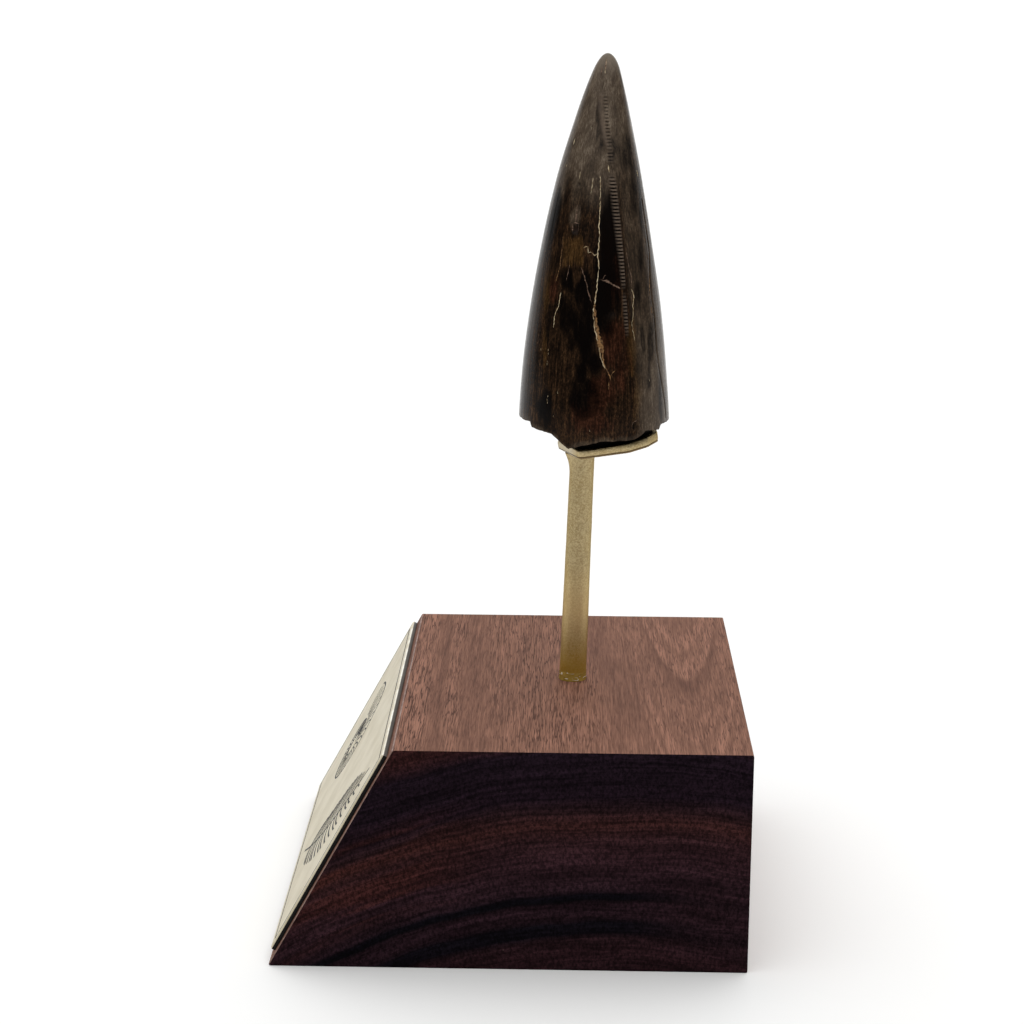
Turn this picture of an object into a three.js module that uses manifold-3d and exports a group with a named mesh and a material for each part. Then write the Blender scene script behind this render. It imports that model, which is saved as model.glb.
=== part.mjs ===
// A fossil theropod tooth standing in a brass cradle, on a rod in a walnut block with a sloped label end.
// Millimetres, +Z up. The label faces -X, and the origin is under the middle of the block.
import * as THREE from "three";
import { mergeVertices } from "three/addons/utils/BufferGeometryUtils.js";
import Module from "manifold-3d";

const wasm = await Module();
wasm.setup();

// Fit between pieces that touch
const GAP = 0.3;
const MERGE_DISTANCE = 1e-4;

// Block
const BLOCK_LENGTH = 53.17;
const BLOCK_RIGHT = 26.5;
const BLOCK_DEPTH = 52.6;
const BLOCK_HEIGHT = 25.4;
const SLOPE_RUN = 14;
const BLOCK_CORNER = 0.1;
const BLOCK_ARRIS = 0.1;
const HOLE_DEPTH = 12;

// Label plate
const PLATE_WIDTH = 50.8;
const PLATE_HEIGHT = 26.2;
const PLATE_RISE = 0.2;
const PLATE_THICKNESS = 0.5;
const PLATE_BEVEL = 0.12;
const PLATE_GAP = 0.1;

// Rod
const ROD_FOOT = new THREE.Vector3(6.9, 0.2, BLOCK_HEIGHT);
const ROD_RADIUS = 1.6;
const ROD_HEAD_RADIUS = 1.42;
const ROD_LEAN = THREE.MathUtils.degToRad(1.75);
const ROD_NECK = 24;
const ROD_SIDES = 24;
const ROD_FLARE = 0.7;
const NECK_SHARE = 0.7;
const NECK_FLARE_SHARE = 0.2;

// Glue bead at the rod's foot
const BEAD_GAP = 0.12;
const BEAD_WIDTH = 0.35;
const BEAD_HEIGHT = 0.9;
const BEAD_WAIST = [0.4, 0.35];
const BEAD_LIP = 0.12;

// Cradle
const CRADLE_CENTRE = new THREE.Vector3(10.8, 1.6, 53.55);
const CRADLE_TILT = THREE.MathUtils.degToRad(8.5);
const CRADLE_HEIGHT = 1.15;
const CRADLE_FLOOR = 0.4;
const CRADLE_WALL = 0.7;
const CRADLE_BEVEL = 0.12;
const CRADLE_CORNER = 1.7;
const CRADLE_OUTLINE = [
  [-3.7, -6.2],
  [3.1, -6.2],
  [5.9, -2.1],
  [5.6, 3.6],
  [2.2, 6.4],
  [-2.8, 6.4],
  [-6.1, 1.3],
];

// Tooth
const TIP = new THREE.Vector3(10.1, 7, 98.2);
const CROWN_HEIGHT = 42.2;
const BASE_Y = 1;
const RECURVE = 1.8;
const TIP_ELONGATION = 1.12;
const BASE_ELONGATION = 1.22;
const SECTION_SQUARENESS = 0.92;
const TOOTH_ROWS = 34;
const SIDE_MERIDIANS = 20;
const TIP_RING_DEPTH = 0.06;
const ROW_BUNCHING = 1.7;

// Serrated edges of the tooth
const DENTICLE_PITCH = 0.376;
const DENTICLE_HEIGHT = 0.22;
const DENTICLE_NOTCH = 0.15;
const DENTICLE_TOP = [0.28, 0.78];
const DENTICLE_FADE = 8;
const CARINA_HALF_WIDTH = 0.45;
const CARINA_FLANK = 0.85;
const CARINA_MOST_ANGLE = 0.3;
const MESIAL_SPAN = [4, 31];
const DISTAL_SPAN = [2, 40];
const MESIAL_TURN = THREE.MathUtils.degToRad(28);
const MESIAL_TURN_START = 3;
const MESIAL_TURN_LENGTH = 10.5;

// Broken root end of the tooth
const STUB_HALF_WIDTH = 4.3;
const STUB_HALF_LENGTH = 4.9;
const STUB_TOP = 1.5;
const UNDERSIDE_SHARE = 0.45;
const UNDERSIDE_HOLLOW = 0.5;

// Crown outline: depth below the tip, middle, half width
const CROWN_STATIONS = [
  [0, 10.1, 0],
  [1, 10.05, 1.15],
  [3.5, 9.85, 2.1],
  [7.5, 9.6, 3.25],
  [14.2, 9.25, 4.95],
  [21, 9.1, 6.3],
  [27.8, 9, 7.4],
  [34.7, 9, 8.25],
  [42.2, 9, 8.75],
];

// Root edge: angle round the tooth in degrees, height above the surface under the block
const ROOT_EDGE = [
  [-180, 57.3],
  [-146, 57.6],
  [-143, 57],
  [-122, 56.8],
  [-108, 55.3],
  [-87, 56.25],
  [-59, 56.3],
  [-50, 57.1],
  [-34, 56.8],
  [-31, 57.3],
  [0, 57.1],
  [28, 56.4],
  [36, 57.2],
  [75, 57.6],
  [92, 56.9],
  [118, 57.4],
  [150, 56.7],
  [180, 57.3],
];

// Colours
const WALNUT = 0x6b4a3f;
const BRASS = 0xa8925e;
const CLEAR_GLUE = 0x8a7434;
const FOSSIL_ENAMEL = 0x2e251e;
const LAMINATE = 0xded6be;

function material(color, roughness, metalness) {
  return new THREE.MeshStandardMaterial({ color, roughness, metalness });
}

function mesh(name, geometry, look) {
  const made = new THREE.Mesh(geometry, look);
  made.name = name;
  return made;
}

// Closed geometry as a solid for joining and cutting
function solid(geometry) {
  const bare = geometry.clone();
  bare.deleteAttribute("normal");
  bare.deleteAttribute("uv");
  const merged = mergeVertices(bare, MERGE_DISTANCE);
  const triVerts = new Uint32Array(merged.index.array);
  const vertProperties = merged.attributes.position.array;
  return new wasm.Manifold(new wasm.Mesh({ numProp: 3, vertProperties, triVerts }));
}

function geometryOf(made) {
  const { vertProperties, triVerts } = made.getMesh();
  return indexedGeometry(vertProperties, triVerts);
}

function indexedGeometry(positions, faces) {
  const geometry = new THREE.BufferGeometry();
  geometry.setAttribute("position", new THREE.BufferAttribute(new Float32Array(positions), 3));
  geometry.setIndex(new THREE.BufferAttribute(new Uint32Array(faces), 1));
  geometry.computeVertexNormals();
  return geometry;
}

// Closed outline with its corners rounded by a quadratic curve
function roundedOutline(corners, radius) {
  const outline = new THREE.Shape();
  corners.forEach((corner, i) => {
    const before = corners.at(i - 1);
    const after = corners[(i + 1) % corners.length];
    const start = corner.clone().add(before.clone().sub(corner).setLength(radius));
    const end = corner.clone().add(after.clone().sub(corner).setLength(radius));
    if (i === 0) outline.moveTo(start.x, start.y);
    else outline.lineTo(start.x, start.y);
    outline.quadraticCurveTo(corner.x, corner.y, end.x, end.y);
  });
  outline.closePath();
  return outline;
}

// Point on the rod's leaning axis at a height above the block's top
function rodAxis(height) {
  return new THREE.Vector3(height * Math.tan(ROD_LEAN), 0, height).add(ROD_FOOT);
}

// Height of the cradle's tilted underside, raised by a distance square to it
function cradleHeight(x, raised) {
  const along = (x - CRADLE_CENTRE.x) * Math.tan(CRADLE_TILT);
  return CRADLE_CENTRE.z + along + raised / Math.cos(CRADLE_TILT);
}

function makeBlock() {
  const left = BLOCK_RIGHT - BLOCK_LENGTH;
  const corners = [
    new THREE.Vector2(left, 0),
    new THREE.Vector2(BLOCK_RIGHT, 0),
    new THREE.Vector2(BLOCK_RIGHT, BLOCK_HEIGHT),
    new THREE.Vector2(left + SLOPE_RUN, BLOCK_HEIGHT),
  ];
  const inset = corners.map((corner, i) => insetCorner(corners, i, BLOCK_ARRIS));
  const body = new THREE.ExtrudeGeometry(roundedOutline(inset, BLOCK_CORNER), {
    depth: BLOCK_DEPTH - 2 * BLOCK_ARRIS,
    bevelThickness: BLOCK_ARRIS,
    bevelSize: BLOCK_ARRIS,
    bevelSegments: 2,
    curveSegments: 3,
  });
  body.translate(0, 0, BLOCK_ARRIS - BLOCK_DEPTH / 2);
  body.rotateX(Math.PI / 2);

  const holeRadius = ROD_RADIUS + GAP;
  const holeLength = 2 * HOLE_DEPTH;
  const hole = new THREE.CylinderGeometry(holeRadius, holeRadius, holeLength, ROD_SIDES);
  hole.rotateX(Math.PI / 2);
  hole.rotateY(ROD_LEAN);
  hole.translate(...ROD_FOOT);
  return geometryOf(solid(body).subtract(solid(hole)));
}

// Corner of a convex outline after each of its sides has moved in by a distance
function insetCorner(corners, i, distance) {
  const corner = corners[i];
  const toBefore = corners.at(i - 1).clone().sub(corner).normalize();
  const toAfter = corners[(i + 1) % corners.length].clone().sub(corner).normalize();
  const halfAngle = Math.acos(toBefore.dot(toAfter)) / 2;
  const inward = toBefore.add(toAfter).normalize();
  return corner.clone().addScaledVector(inward, distance / Math.sin(halfAngle));
}

function makePlate() {
  const x = PLATE_HEIGHT / 2 - PLATE_BEVEL;
  const y = PLATE_WIDTH / 2 - PLATE_BEVEL;
  const face = new THREE.Shape([
    new THREE.Vector2(-x, -y),
    new THREE.Vector2(x, -y),
    new THREE.Vector2(x, y),
    new THREE.Vector2(-x, y),
  ]);
  const plate = new THREE.ExtrudeGeometry(face, {
    depth: PLATE_THICKNESS - 2 * PLATE_BEVEL,
    bevelThickness: PLATE_BEVEL,
    bevelSize: PLATE_BEVEL,
    bevelSegments: 1,
  });
  return plate.translate(PLATE_RISE, 0, PLATE_GAP + PLATE_BEVEL);
}

// Solid through rings of equal length, from the lowest to the highest, closed by a fan at each end
function loft(rings) {
  const count = rings[0].length;
  const positions = rings.flat().flatMap((point) => point.toArray());
  const faces = [];
  for (let row = 0; row + 1 < rings.length; row++) {
    for (let i = 0; i < count; i++) {
      const next = (i + 1) % count;
      const [a, b] = [row * count + i, row * count + next];
      faces.push(a, b, b + count, a, b + count, a + count);
    }
  }
  for (const [ring, start, upward] of [
    [rings[0], 0, false],
    [rings.at(-1), (rings.length - 1) * count, true],
  ]) {
    const centre = positions.length / 3;
    const middle = new THREE.Vector3();
    ring.forEach((point) => middle.add(point));
    positions.push(...middle.divideScalar(count).toArray());
    for (let i = 0; i < count; i++) {
      const [a, b] = [start + i, start + ((i + 1) % count)];
      faces.push(...(upward ? [a, b, centre] : [b, a, centre]));
    }
  }
  return indexedGeometry(positions, faces);
}

// Rod from the bottom of its hole to a head that flares left and back under the cradle
function makeRod() {
  const ringAt = (height, radius, flare) => {
    const centre = rodAxis(height);
    return Array.from({ length: ROD_SIDES }, (_, i) => {
      const angle = (2 * Math.PI * i) / ROD_SIDES;
      const left = Math.max(0, -Math.cos(angle)) * flare;
      const back = Math.max(0, Math.sin(angle)) * flare;
      const x = centre.x + radius * Math.cos(angle) - left;
      const y = centre.y + radius * Math.sin(angle) + back;
      return new THREE.Vector3(x, y, centre.z);
    });
  };
  const headHeight = CRADLE_CENTRE.z - BLOCK_HEIGHT;
  const neckLength = headHeight - ROD_NECK;
  const head = ringAt(headHeight, ROD_HEAD_RADIUS, ROD_FLARE);
  head.forEach((point) => (point.z = cradleHeight(point.x, -GAP)));
  return loft([
    ringAt(GAP - HOLE_DEPTH, ROD_RADIUS, 0),
    ringAt(0, ROD_RADIUS, 0),
    ringAt(ROD_NECK, ROD_HEAD_RADIUS, 0),
    ringAt(ROD_NECK + NECK_SHARE * neckLength, ROD_HEAD_RADIUS, NECK_FLARE_SHARE * ROD_FLARE),
    head,
  ]);
}

function makeBead() {
  const inner = ROD_RADIUS + BEAD_GAP;
  const profile = [
    new THREE.Vector2(inner, 0),
    new THREE.Vector2(inner + BEAD_WIDTH, 0),
    new THREE.Vector2(inner + BEAD_WAIST[0] * BEAD_WIDTH, BEAD_WAIST[1] * BEAD_HEIGHT),
    new THREE.Vector2(inner + BEAD_LIP * BEAD_WIDTH, BEAD_HEIGHT),
    new THREE.Vector2(inner, BEAD_HEIGHT),
    new THREE.Vector2(inner, 0),
  ];
  const bead = new THREE.LatheGeometry(profile, ROD_SIDES);
  bead.rotateX(Math.PI / 2);
  return bead.translate(ROD_FOOT.x, ROD_FOOT.y, ROD_FOOT.z + BEAD_GAP);
}

// Cradle about its own middle: a tray with a low upstanding rim
function makeCradle() {
  const corners = CRADLE_OUTLINE.map(([x, y]) => new THREE.Vector2(x, y));
  const tray = (inset, low, high, bevel) => {
    const outline = corners.map((corner, i) => insetCorner(corners, i, inset + bevel));
    const geometry = new THREE.ExtrudeGeometry(roundedOutline(outline, CRADLE_CORNER - inset), {
      depth: high - low - 2 * bevel,
      bevelEnabled: bevel > 0,
      bevelThickness: bevel,
      bevelSize: bevel,
      bevelSegments: 1,
      curveSegments: 5,
    });
    return solid(geometry.translate(0, 0, low + bevel));
  };
  const outer = tray(0, 0, CRADLE_HEIGHT, CRADLE_BEVEL);
  const pocket = tray(CRADLE_WALL, CRADLE_FLOOR, CRADLE_HEIGHT + 1, 0);
  return geometryOf(outer.subtract(pocket));
}

// Middle and half width of the crown by the root of the depth, which makes the tip come out round
const crownOutline = new THREE.CubicInterpolant(
  CROWN_STATIONS.map(([depth]) => Math.sqrt(depth)),
  CROWN_STATIONS.flatMap(([, middle, halfWidth]) => [middle, halfWidth]),
  2,
);

function crownSection(depth) {
  const [x, halfWidth] = crownOutline.evaluate(Math.sqrt(depth));
  const share = depth / CROWN_HEIGHT;
  return {
    x,
    y: BASE_Y + (TIP.y - BASE_Y) * Math.max(0, 1 - share) ** RECURVE,
    halfWidth,
    halfLength: halfWidth * THREE.MathUtils.lerp(TIP_ELONGATION, BASE_ELONGATION, share),
  };
}

// Point on the crown at an angle and a depth, lifted along the section's outward normal
function crownPoint(angle, depth, lift) {
  const { x, y, halfWidth, halfLength } = crownSection(depth);
  const full = (v) => Math.sign(v) * Math.abs(v) ** SECTION_SQUARENESS;
  const [c, s] = [Math.cos(angle), Math.sin(angle)];
  const out = new THREE.Vector2(c / halfWidth, s / halfLength).setLength(lift);
  const across = x + halfWidth * full(c) + out.x;
  const along = y + halfLength * full(s) + out.y;
  return new THREE.Vector3(across, along, TIP.z - depth);
}

// Angle of the front serrated edge, which swings to the right on its way down
function mesialAngle(depth) {
  const fallen = Math.max(0, depth - MESIAL_TURN_START) / MESIAL_TURN_LENGTH;
  return -Math.PI / 2 + MESIAL_TURN * (1 - Math.exp(-fallen));
}

function rootDepth(angle) {
  const turn = 2 * Math.PI;
  const wrapped = THREE.MathUtils.euclideanModulo(angle + Math.PI, turn) - Math.PI;
  const degrees = THREE.MathUtils.radToDeg(wrapped);
  const i = Math.max(1, ROOT_EDGE.findIndex(([at]) => at >= degrees));
  const [[a0, z0], [a1, z1]] = [ROOT_EDGE[i - 1], ROOT_EDGE[i]];
  return TIP.z - THREE.MathUtils.mapLinear(degrees, a0, a1, z0, z1);
}

// Angle that a width along the surface takes up on the section
function angleOfWidth(width, depth) {
  const { halfWidth } = crownSection(Math.max(depth, 1));
  return Math.min(width / halfWidth, (CARINA_MOST_ANGLE * width) / CARINA_HALF_WIDTH);
}

// Meridians in order round the tooth: each gives its angle by depth, and a serrated one its span
function toothMeridians() {
  const edges = [
    { angle: mesialAngle, span: MESIAL_SPAN },
    { angle: () => Math.PI / 2, span: DISTAL_SPAN },
  ];
  const meridians = [];
  edges.forEach((edge, i) => {
    const next = edges[(i + 1) % edges.length];
    const fullTurn = i === edges.length - 1 ? 2 * Math.PI : 0;
    for (const width of [-CARINA_HALF_WIDTH, CARINA_HALF_WIDTH]) {
      const angle = (depth) => edge.angle(depth) + angleOfWidth(width, depth);
      meridians.push({ angle, span: edge.span });
    }
    for (let k = 0; k <= SIDE_MERIDIANS; k++) {
      const angle = (depth) => {
        const flank = angleOfWidth(CARINA_FLANK, depth);
        const from = edge.angle(depth) + flank;
        const to = next.angle(depth) + fullTurn - flank;
        return THREE.MathUtils.lerp(from, to, k / SIDE_MERIDIANS);
      };
      meridians.push({ angle });
    }
  });
  return meridians;
}

// Depths along a serrated span, each with how far the edge stands out there
function denticleSteps([top, bottom]) {
  const steps = [];
  const count = Math.floor((bottom - top) / DENTICLE_PITCH);
  for (let k = 0; k < count; k++) {
    const start = top + k * DENTICLE_PITCH;
    const fade = Math.min(1, (k + 1) / DENTICLE_FADE, (count - k) / DENTICLE_FADE);
    const height = DENTICLE_HEIGHT * fade;
    steps.push([start, DENTICLE_NOTCH * height]);
    DENTICLE_TOP.forEach((share) => steps.push([start + share * DENTICLE_PITCH, height]));
  }
  steps.push([top + count * DENTICLE_PITCH, 0]);
  return steps;
}

// One meridian from the tip ring down to the root edge, then in under the root to the stub
function meridianPoints({ angle, span }) {
  const rim = rootDepth(angle(CROWN_HEIGHT));
  const steps = [];
  for (let row = 0; row <= TOOTH_ROWS; row++) {
    const share = (row / TOOTH_ROWS) ** ROW_BUNCHING;
    const depth = THREE.MathUtils.lerp(TIP_RING_DEPTH, rim, share);
    const serrated = span && depth > span[0] && depth < span[1];
    if (!serrated) steps.push([depth, 0]);
  }
  if (span) steps.push(...denticleSteps(span));
  steps.sort((a, b) => a[0] - b[0]);
  const points = steps.map(([depth, lift]) => {
    const share = (depth - TIP_RING_DEPTH) / (rim - TIP_RING_DEPTH);
    return { share, point: crownPoint(angle(depth), depth, lift) };
  });

  const edge = points.at(-1).point;
  const around = angle(rim);
  const stub = (raised) => {
    const x = CRADLE_CENTRE.x + STUB_HALF_WIDTH * Math.cos(around);
    const y = CRADLE_CENTRE.y + STUB_HALF_LENGTH * Math.sin(around);
    return new THREE.Vector3(x, y, cradleHeight(x, raised));
  };
  const under = edge.clone().lerp(stub(STUB_TOP), UNDERSIDE_SHARE);
  under.z += UNDERSIDE_HOLLOW;
  points.push({ share: 2, point: under });
  points.push({ share: 3, point: stub(STUB_TOP) });
  points.push({ share: 4, point: stub(CRADLE_FLOOR + GAP) });
  return points;
}

// Faces between two neighbouring meridians, whichever of them is behind moving on first
function zip(left, right, faces) {
  let [i, j] = [0, 0];
  while (i < left.length - 1 || j < right.length - 1) {
    const rightDone = j === right.length - 1;
    const leftBehind = i < left.length - 1 && (rightDone || left[i + 1].share <= right[j + 1].share);
    if (leftBehind) {
      faces.push(left[i].index, left[i + 1].index, right[j].index);
      i += 1;
    } else {
      faces.push(left[i].index, right[j + 1].index, right[j].index);
      j += 1;
    }
  }
}

function makeTooth() {
  const chains = toothMeridians().map(meridianPoints);
  const positions = [];
  const place = (point) => {
    positions.push(point.x, point.y, point.z);
    return positions.length / 3 - 1;
  };
  chains.flat().forEach((step) => (step.index = place(step.point)));
  const apex = place(TIP);
  const under = new THREE.Vector3(CRADLE_CENTRE.x, CRADLE_CENTRE.y, 0);
  under.z = cradleHeight(under.x, CRADLE_FLOOR + GAP);
  const bottom = place(under);
  const faces = [];
  chains.forEach((chain, i) => {
    const next = chains[(i + 1) % chains.length];
    zip(chain, next, faces);
    faces.push(apex, chain[0].index, next[0].index);
    faces.push(bottom, next.at(-1).index, chain.at(-1).index);
  });
  return indexedGeometry(positions, faces);
}

const stand = new THREE.Group();
stand.add(mesh("base_block", makeBlock(), material(WALNUT, 0.55, 0)));
stand.add(mesh("rod", makeRod(), material(BRASS, 0.4, 1)));
stand.add(mesh("glue_bead", makeBead(), material(CLEAR_GLUE, 0.1, 0)));
stand.add(mesh("tooth", makeTooth(), material(FOSSIL_ENAMEL, 0.25, 0)));

const slope = new THREE.Group();
slope.position.set(BLOCK_RIGHT - BLOCK_LENGTH + SLOPE_RUN / 2, 0, BLOCK_HEIGHT / 2);
slope.rotation.y = -Math.atan2(BLOCK_HEIGHT, SLOPE_RUN);
slope.add(mesh("label_plate", makePlate(), material(LAMINATE, 0.4, 0)));
stand.add(slope);

const head = new THREE.Group();
head.position.copy(CRADLE_CENTRE);
head.rotation.y = -CRADLE_TILT;
head.add(mesh("cradle", makeCradle(), material(BRASS, 0.4, 1)));
stand.add(head);

export default stand;
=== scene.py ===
import math

import bmesh
import bpy
import numpy as np
from mathutils import Matrix, Vector


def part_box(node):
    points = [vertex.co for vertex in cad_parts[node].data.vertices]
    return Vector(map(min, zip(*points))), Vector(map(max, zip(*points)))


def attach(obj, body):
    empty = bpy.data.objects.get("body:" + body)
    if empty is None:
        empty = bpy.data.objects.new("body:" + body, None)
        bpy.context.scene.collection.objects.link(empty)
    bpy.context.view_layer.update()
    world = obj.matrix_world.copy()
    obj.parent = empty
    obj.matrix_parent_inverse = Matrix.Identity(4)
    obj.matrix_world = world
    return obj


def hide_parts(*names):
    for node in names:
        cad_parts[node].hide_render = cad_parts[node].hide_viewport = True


# A fossil theropod tooth in a brass cradle, on a rod in a walnut block with a sloped label end.
# Lengths are millimetres in the CAD frame, and new_mesh turns them into metres.
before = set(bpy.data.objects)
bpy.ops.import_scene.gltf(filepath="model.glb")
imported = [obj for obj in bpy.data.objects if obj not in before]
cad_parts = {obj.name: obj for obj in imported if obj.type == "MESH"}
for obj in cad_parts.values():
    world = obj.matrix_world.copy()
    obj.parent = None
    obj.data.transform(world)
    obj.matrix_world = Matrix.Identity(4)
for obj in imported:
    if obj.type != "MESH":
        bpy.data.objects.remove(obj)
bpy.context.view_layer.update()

MM = 0.001
TURN = 2 * math.pi
FADE_OUT = (1, 0)


def top_corner(node):
    """Highest corner of a CAD node's box in millimetres."""
    _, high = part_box(node)
    return np.array(high) / MM


BLOCK_RIGHT, BLOCK_BACK, BLOCK_TOP = top_corner("base_block")
TOOTH_TOP = top_corner("tooth")[2]

# Camera, fitted to the edges of the block in the photograph
CAMERA_EYE = (5.773, -261.054, 110.2)
CAMERA_AZIMUTH = math.radians(1.36)
CAMERA_ELEVATION = math.radians(13.878)
CAMERA_ROLL = math.radians(0.3206)
CAMERA_LENS = 80.76
CAMERA_SENSOR = 36
CAMERA_FAR = 40_000

# Block
BLOCK_LENGTH = 53.17
SLOPE_RUN = 14
BLOCK_ROUND = 0.2
BLOCK_ARRIS = 0.1
ARRIS_STEPS = 5
ROUND_STEPS = 5
BLOCK_CREASE = 4
HOLE_CLEARANCE = 0.08
HOLE_DEPTH = 12
HOLE_SIDES = 48

# Label plate, in its own frame: X up the slope, Y across, Z out of the slope
PLATE_WIDTH = 50.8
PLATE_HEIGHT = 26.2
PLATE_RISE = 0.2
PLATE_FACE = 0.6
PLATE_BEVEL = 0.14
CORE_FOOT = 0.02
CORE_TOP = 0.45
CORE_BEVEL = 0.05
STROKE_PROUD = 0.015
STROKE_SUNK = 0.05
LINE_WIDTH = 0.3
THIN_LINE_WIDTH = 0.22
FRAME_INSET = 0.9

# The label's drawing: a ribbed ammonite and a fern frond
AMMONITE_CENTRE = np.array([-0.6, 12.4])
AMMONITE_RADIUS = 8.6
AMMONITE_END = 3.1 * TURN
AMMONITE_GROWTH = 0.155
AMMONITE_START = 5
AMMONITE_STEPS = 220
RIB_COUNT = 40
RIBBED_SPAN = 1.25 * TURN
RIB_BOW = 0.12
RIB_SHARES = np.linspace(0.12, 0.92, 9)
FERN_FOOT = np.array([-10.2, -3.2])
FERN_BEND = np.array([-4.5, -13.5])
FERN_TIP = np.array([9.2, -20.4])
FERN_STEPS = 60
FERN_BARE_STEPS = 10
FERN_LEAFY_STEPS = 46
LEAFLET_COUNT = 17
LEAFLET_REACH = 5.4
LEAFLET_SWELL = (0.22, 0.74)
LEAFLET_OUT = 0.8
LEAFLET_RISE = (0.25, 0.5)
LEAFLET_STEPS = 10

# Rod
ROD_FOOT = np.array([6.9, 0.2, BLOCK_TOP])
ROD_RADIUS = 1.6
ROD_HEAD_RADIUS = 1.42
ROD_LEAN = math.radians(1.75)
ROD_NECK = 24
ROD_FLARE = 0.62
FLARE_POWER = 3.4
ROD_SIDES = 72
ROD_ROWS = 120
ROD_DENT = 0.012
DENT_CELLS = 9
DENT_LENGTH = 2.1
DENT_START = 40
ROD_SUNK = 11.5
BRAZE_GAP = 0.01

# Glue bead at the rod's foot, and its section: share of the width out, share of the height up
BEAD_GAP = 0.015
BEAD_WIDTH = 0.1
BEAD_HEIGHT = 1.0
BEAD_SIDES = 220
BEAD_WOBBLE = 0.07
LIP_WOBBLE = 0.154
BEAD_LUMPS = 11
LIP_LUMPS = 17
BEAD_SECTION = [
    (0.02, -0.15), (0.75, -0.02), (1.0, 0.02), (0.82, 0.12), (0.55, 0.28), (0.36, 0.5), (0.24, 0.75),
    (0.16, 0.93), (0.05, 1.0), (0.01, 0.9), (0.01, 0.4),
]

# Cradle, in its own frame: a shallow tray under the tooth, tilted up towards +X
CRADLE_CENTRE = np.array([10.8, 1.6, 53.55])
CRADLE_TILT = math.radians(8.5)
CRADLE_CORNER = 1.2
CRADLE_ARC_STEPS = 8
CRADLE_SIDE_STEPS = 14
CRADLE_CREASE = 50
CRADLE_FLOOR = 0.4
CRADLE_HEIGHT = 1.15
CRADLE_OUTLINE = [
    (-3.5, -6.15), (2.3, -6.2), (4.5, -4.5), (5.8, -2.1), (5.6, 3.2), (4.2, 5.2), (2.2, 6.3),
    (-2.4, 6.3), (-5.4, 3), (-6, 1.3),
]
CRADLE_WAVE = 0.035
CRADLE_WAVES = 60
CRADLE_LEAN = 0.03
CRADLE_LEAN_FROM = 2
# Section of the cradle's wall from the underside, over the rim, to the tray's floor: inset, height
CRADLE_SECTION = [
    (0.3, 0.0), (0.12, 0.01), (0.05, 0.06), (0.04, 0.17), (0.13, 0.21), (0.13, 0.24), (0.03, 0.28),
    (0.0, 0.4), (0.0, 1.0), (0.03, 1.08), (0.1, 1.14), (0.2, 1.15), (0.5, 1.15), (0.6, 1.13),
    (0.67, 1.06), (0.7, 0.95), (0.7, 0.5), (0.75, 0.42), (0.9, 0.4),
]

# Tooth
TIP = np.array([10.1, 7.0, TOOTH_TOP])
CROWN_HEIGHT = 42.2
BASE_Y = 1
RECURVE = 1.8
TIP_ELONGATION = 1.12
BASE_ELONGATION = 1.22
SECTION_SQUARENESS = 0.92
LEAST_HALF_WIDTH = 0.02
ARC_SHARE = 1.1
TIP_RING = 0.012
TOOTH_CREASE = 70

# Crown outline: depth below the tip, middle, half width
CROWN_STATIONS = np.array([
    (0, 10.1, 0), (1, 10.05, 1.15), (3.5, 9.85, 2.1), (7.5, 9.6, 3.25), (14.2, 9.25, 4.95),
    (21, 9.1, 6.3), (27.8, 9, 7.4), (34.7, 9, 8.25), (42.2, 9, 8.75), (44, 9, 8.8),
])
CROWN_KNOTS = np.sqrt(CROWN_STATIONS[:, 0])
CROWN_SLOPES = np.gradient(CROWN_STATIONS[:, 1:], CROWN_KNOTS, axis=0)

# Root edge: angle round the tooth in degrees, height above the surface under the block
ROOT_EDGE = np.array([
    (-180, 57.3), (-146, 57.6), (-143, 57), (-122, 56.8), (-108, 55.3), (-87, 56.25), (-59, 56.3),
    (-50, 57.1), (-34, 56.8), (-31, 57.3), (0, 57.1), (28, 56.4), (36, 57.2), (75, 57.6), (92, 56.9),
    (118, 57.4), (150, 56.7), (180, 57.3),
])
# Jags of the root edge and waves of the surface: height, cells in a turn, length of a cell, noise layer
ROOT_JAGS = [(0.05, 80, 1, 1), (0.03, 190, 1, 2)]
SURFACE_WAVES = [(0.045, 9, 7, 0), (0.02, 34, 9, 1), (0.008, 150, 6, 2)]
WAVES_FROM = (0.2, 3)

# Serrated edges: spans as depth from, depth to, height
DENTICLE_PITCH = 0.376
DENTICLE_START = (0.1, 0.28)
DENTICLE_END = (0.72, 0.9)
MESIAL_SPANS = [(4, 12.3, 0.09), (13, 25.4, 0.24), (25.6, 30.6, 0.14)]
DISTAL_SPANS = [(2, 40, 0.22)]
MESIAL_TURN = math.radians(28)
MESIAL_TURN_START = 3
MESIAL_TURN_LENGTH = 10.5
DENTICLE_FADE = 3
DENTICLE_FLOOR = -0.25
FULL_DENTICLE = 0.2
CARINA_HALF_WIDTH = 0.45
CARINA_MOST_ANGLE = 0.3
CARINA_FLANK = 0.86
CARINA_COLUMNS = np.array([-0.74, -0.62, -0.52, -0.4, -0.26, -0.12, 0.02, 0.14, 0.28, 0.42])
CARINA_RISE = (-0.72, -0.35)
CARINA_FALL = (-0.03, 0.28)
SLOT_FALL = (-0.12, 0.18)
# Width of the strip along an edge by depth: it grows below the tip and narrows again
CARINA_GROWTH = ((3, 13), (0.55, 1))
CARINA_NARROWS = ((17, 25), (1, 0.7))

# Grid of the tooth's surface
SIDE_ROWS = 205
SIDE_BUNCHING = 1.45
CARINA_ROWS = 900
CARINA_BUNCHING = 1.15
RIGHT_COLUMNS = (88, 44)
RIGHT_SEEN = 0.44
LEFT_COLUMNS = (44, 165)
LEFT_UNSEEN = 0.41

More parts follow.
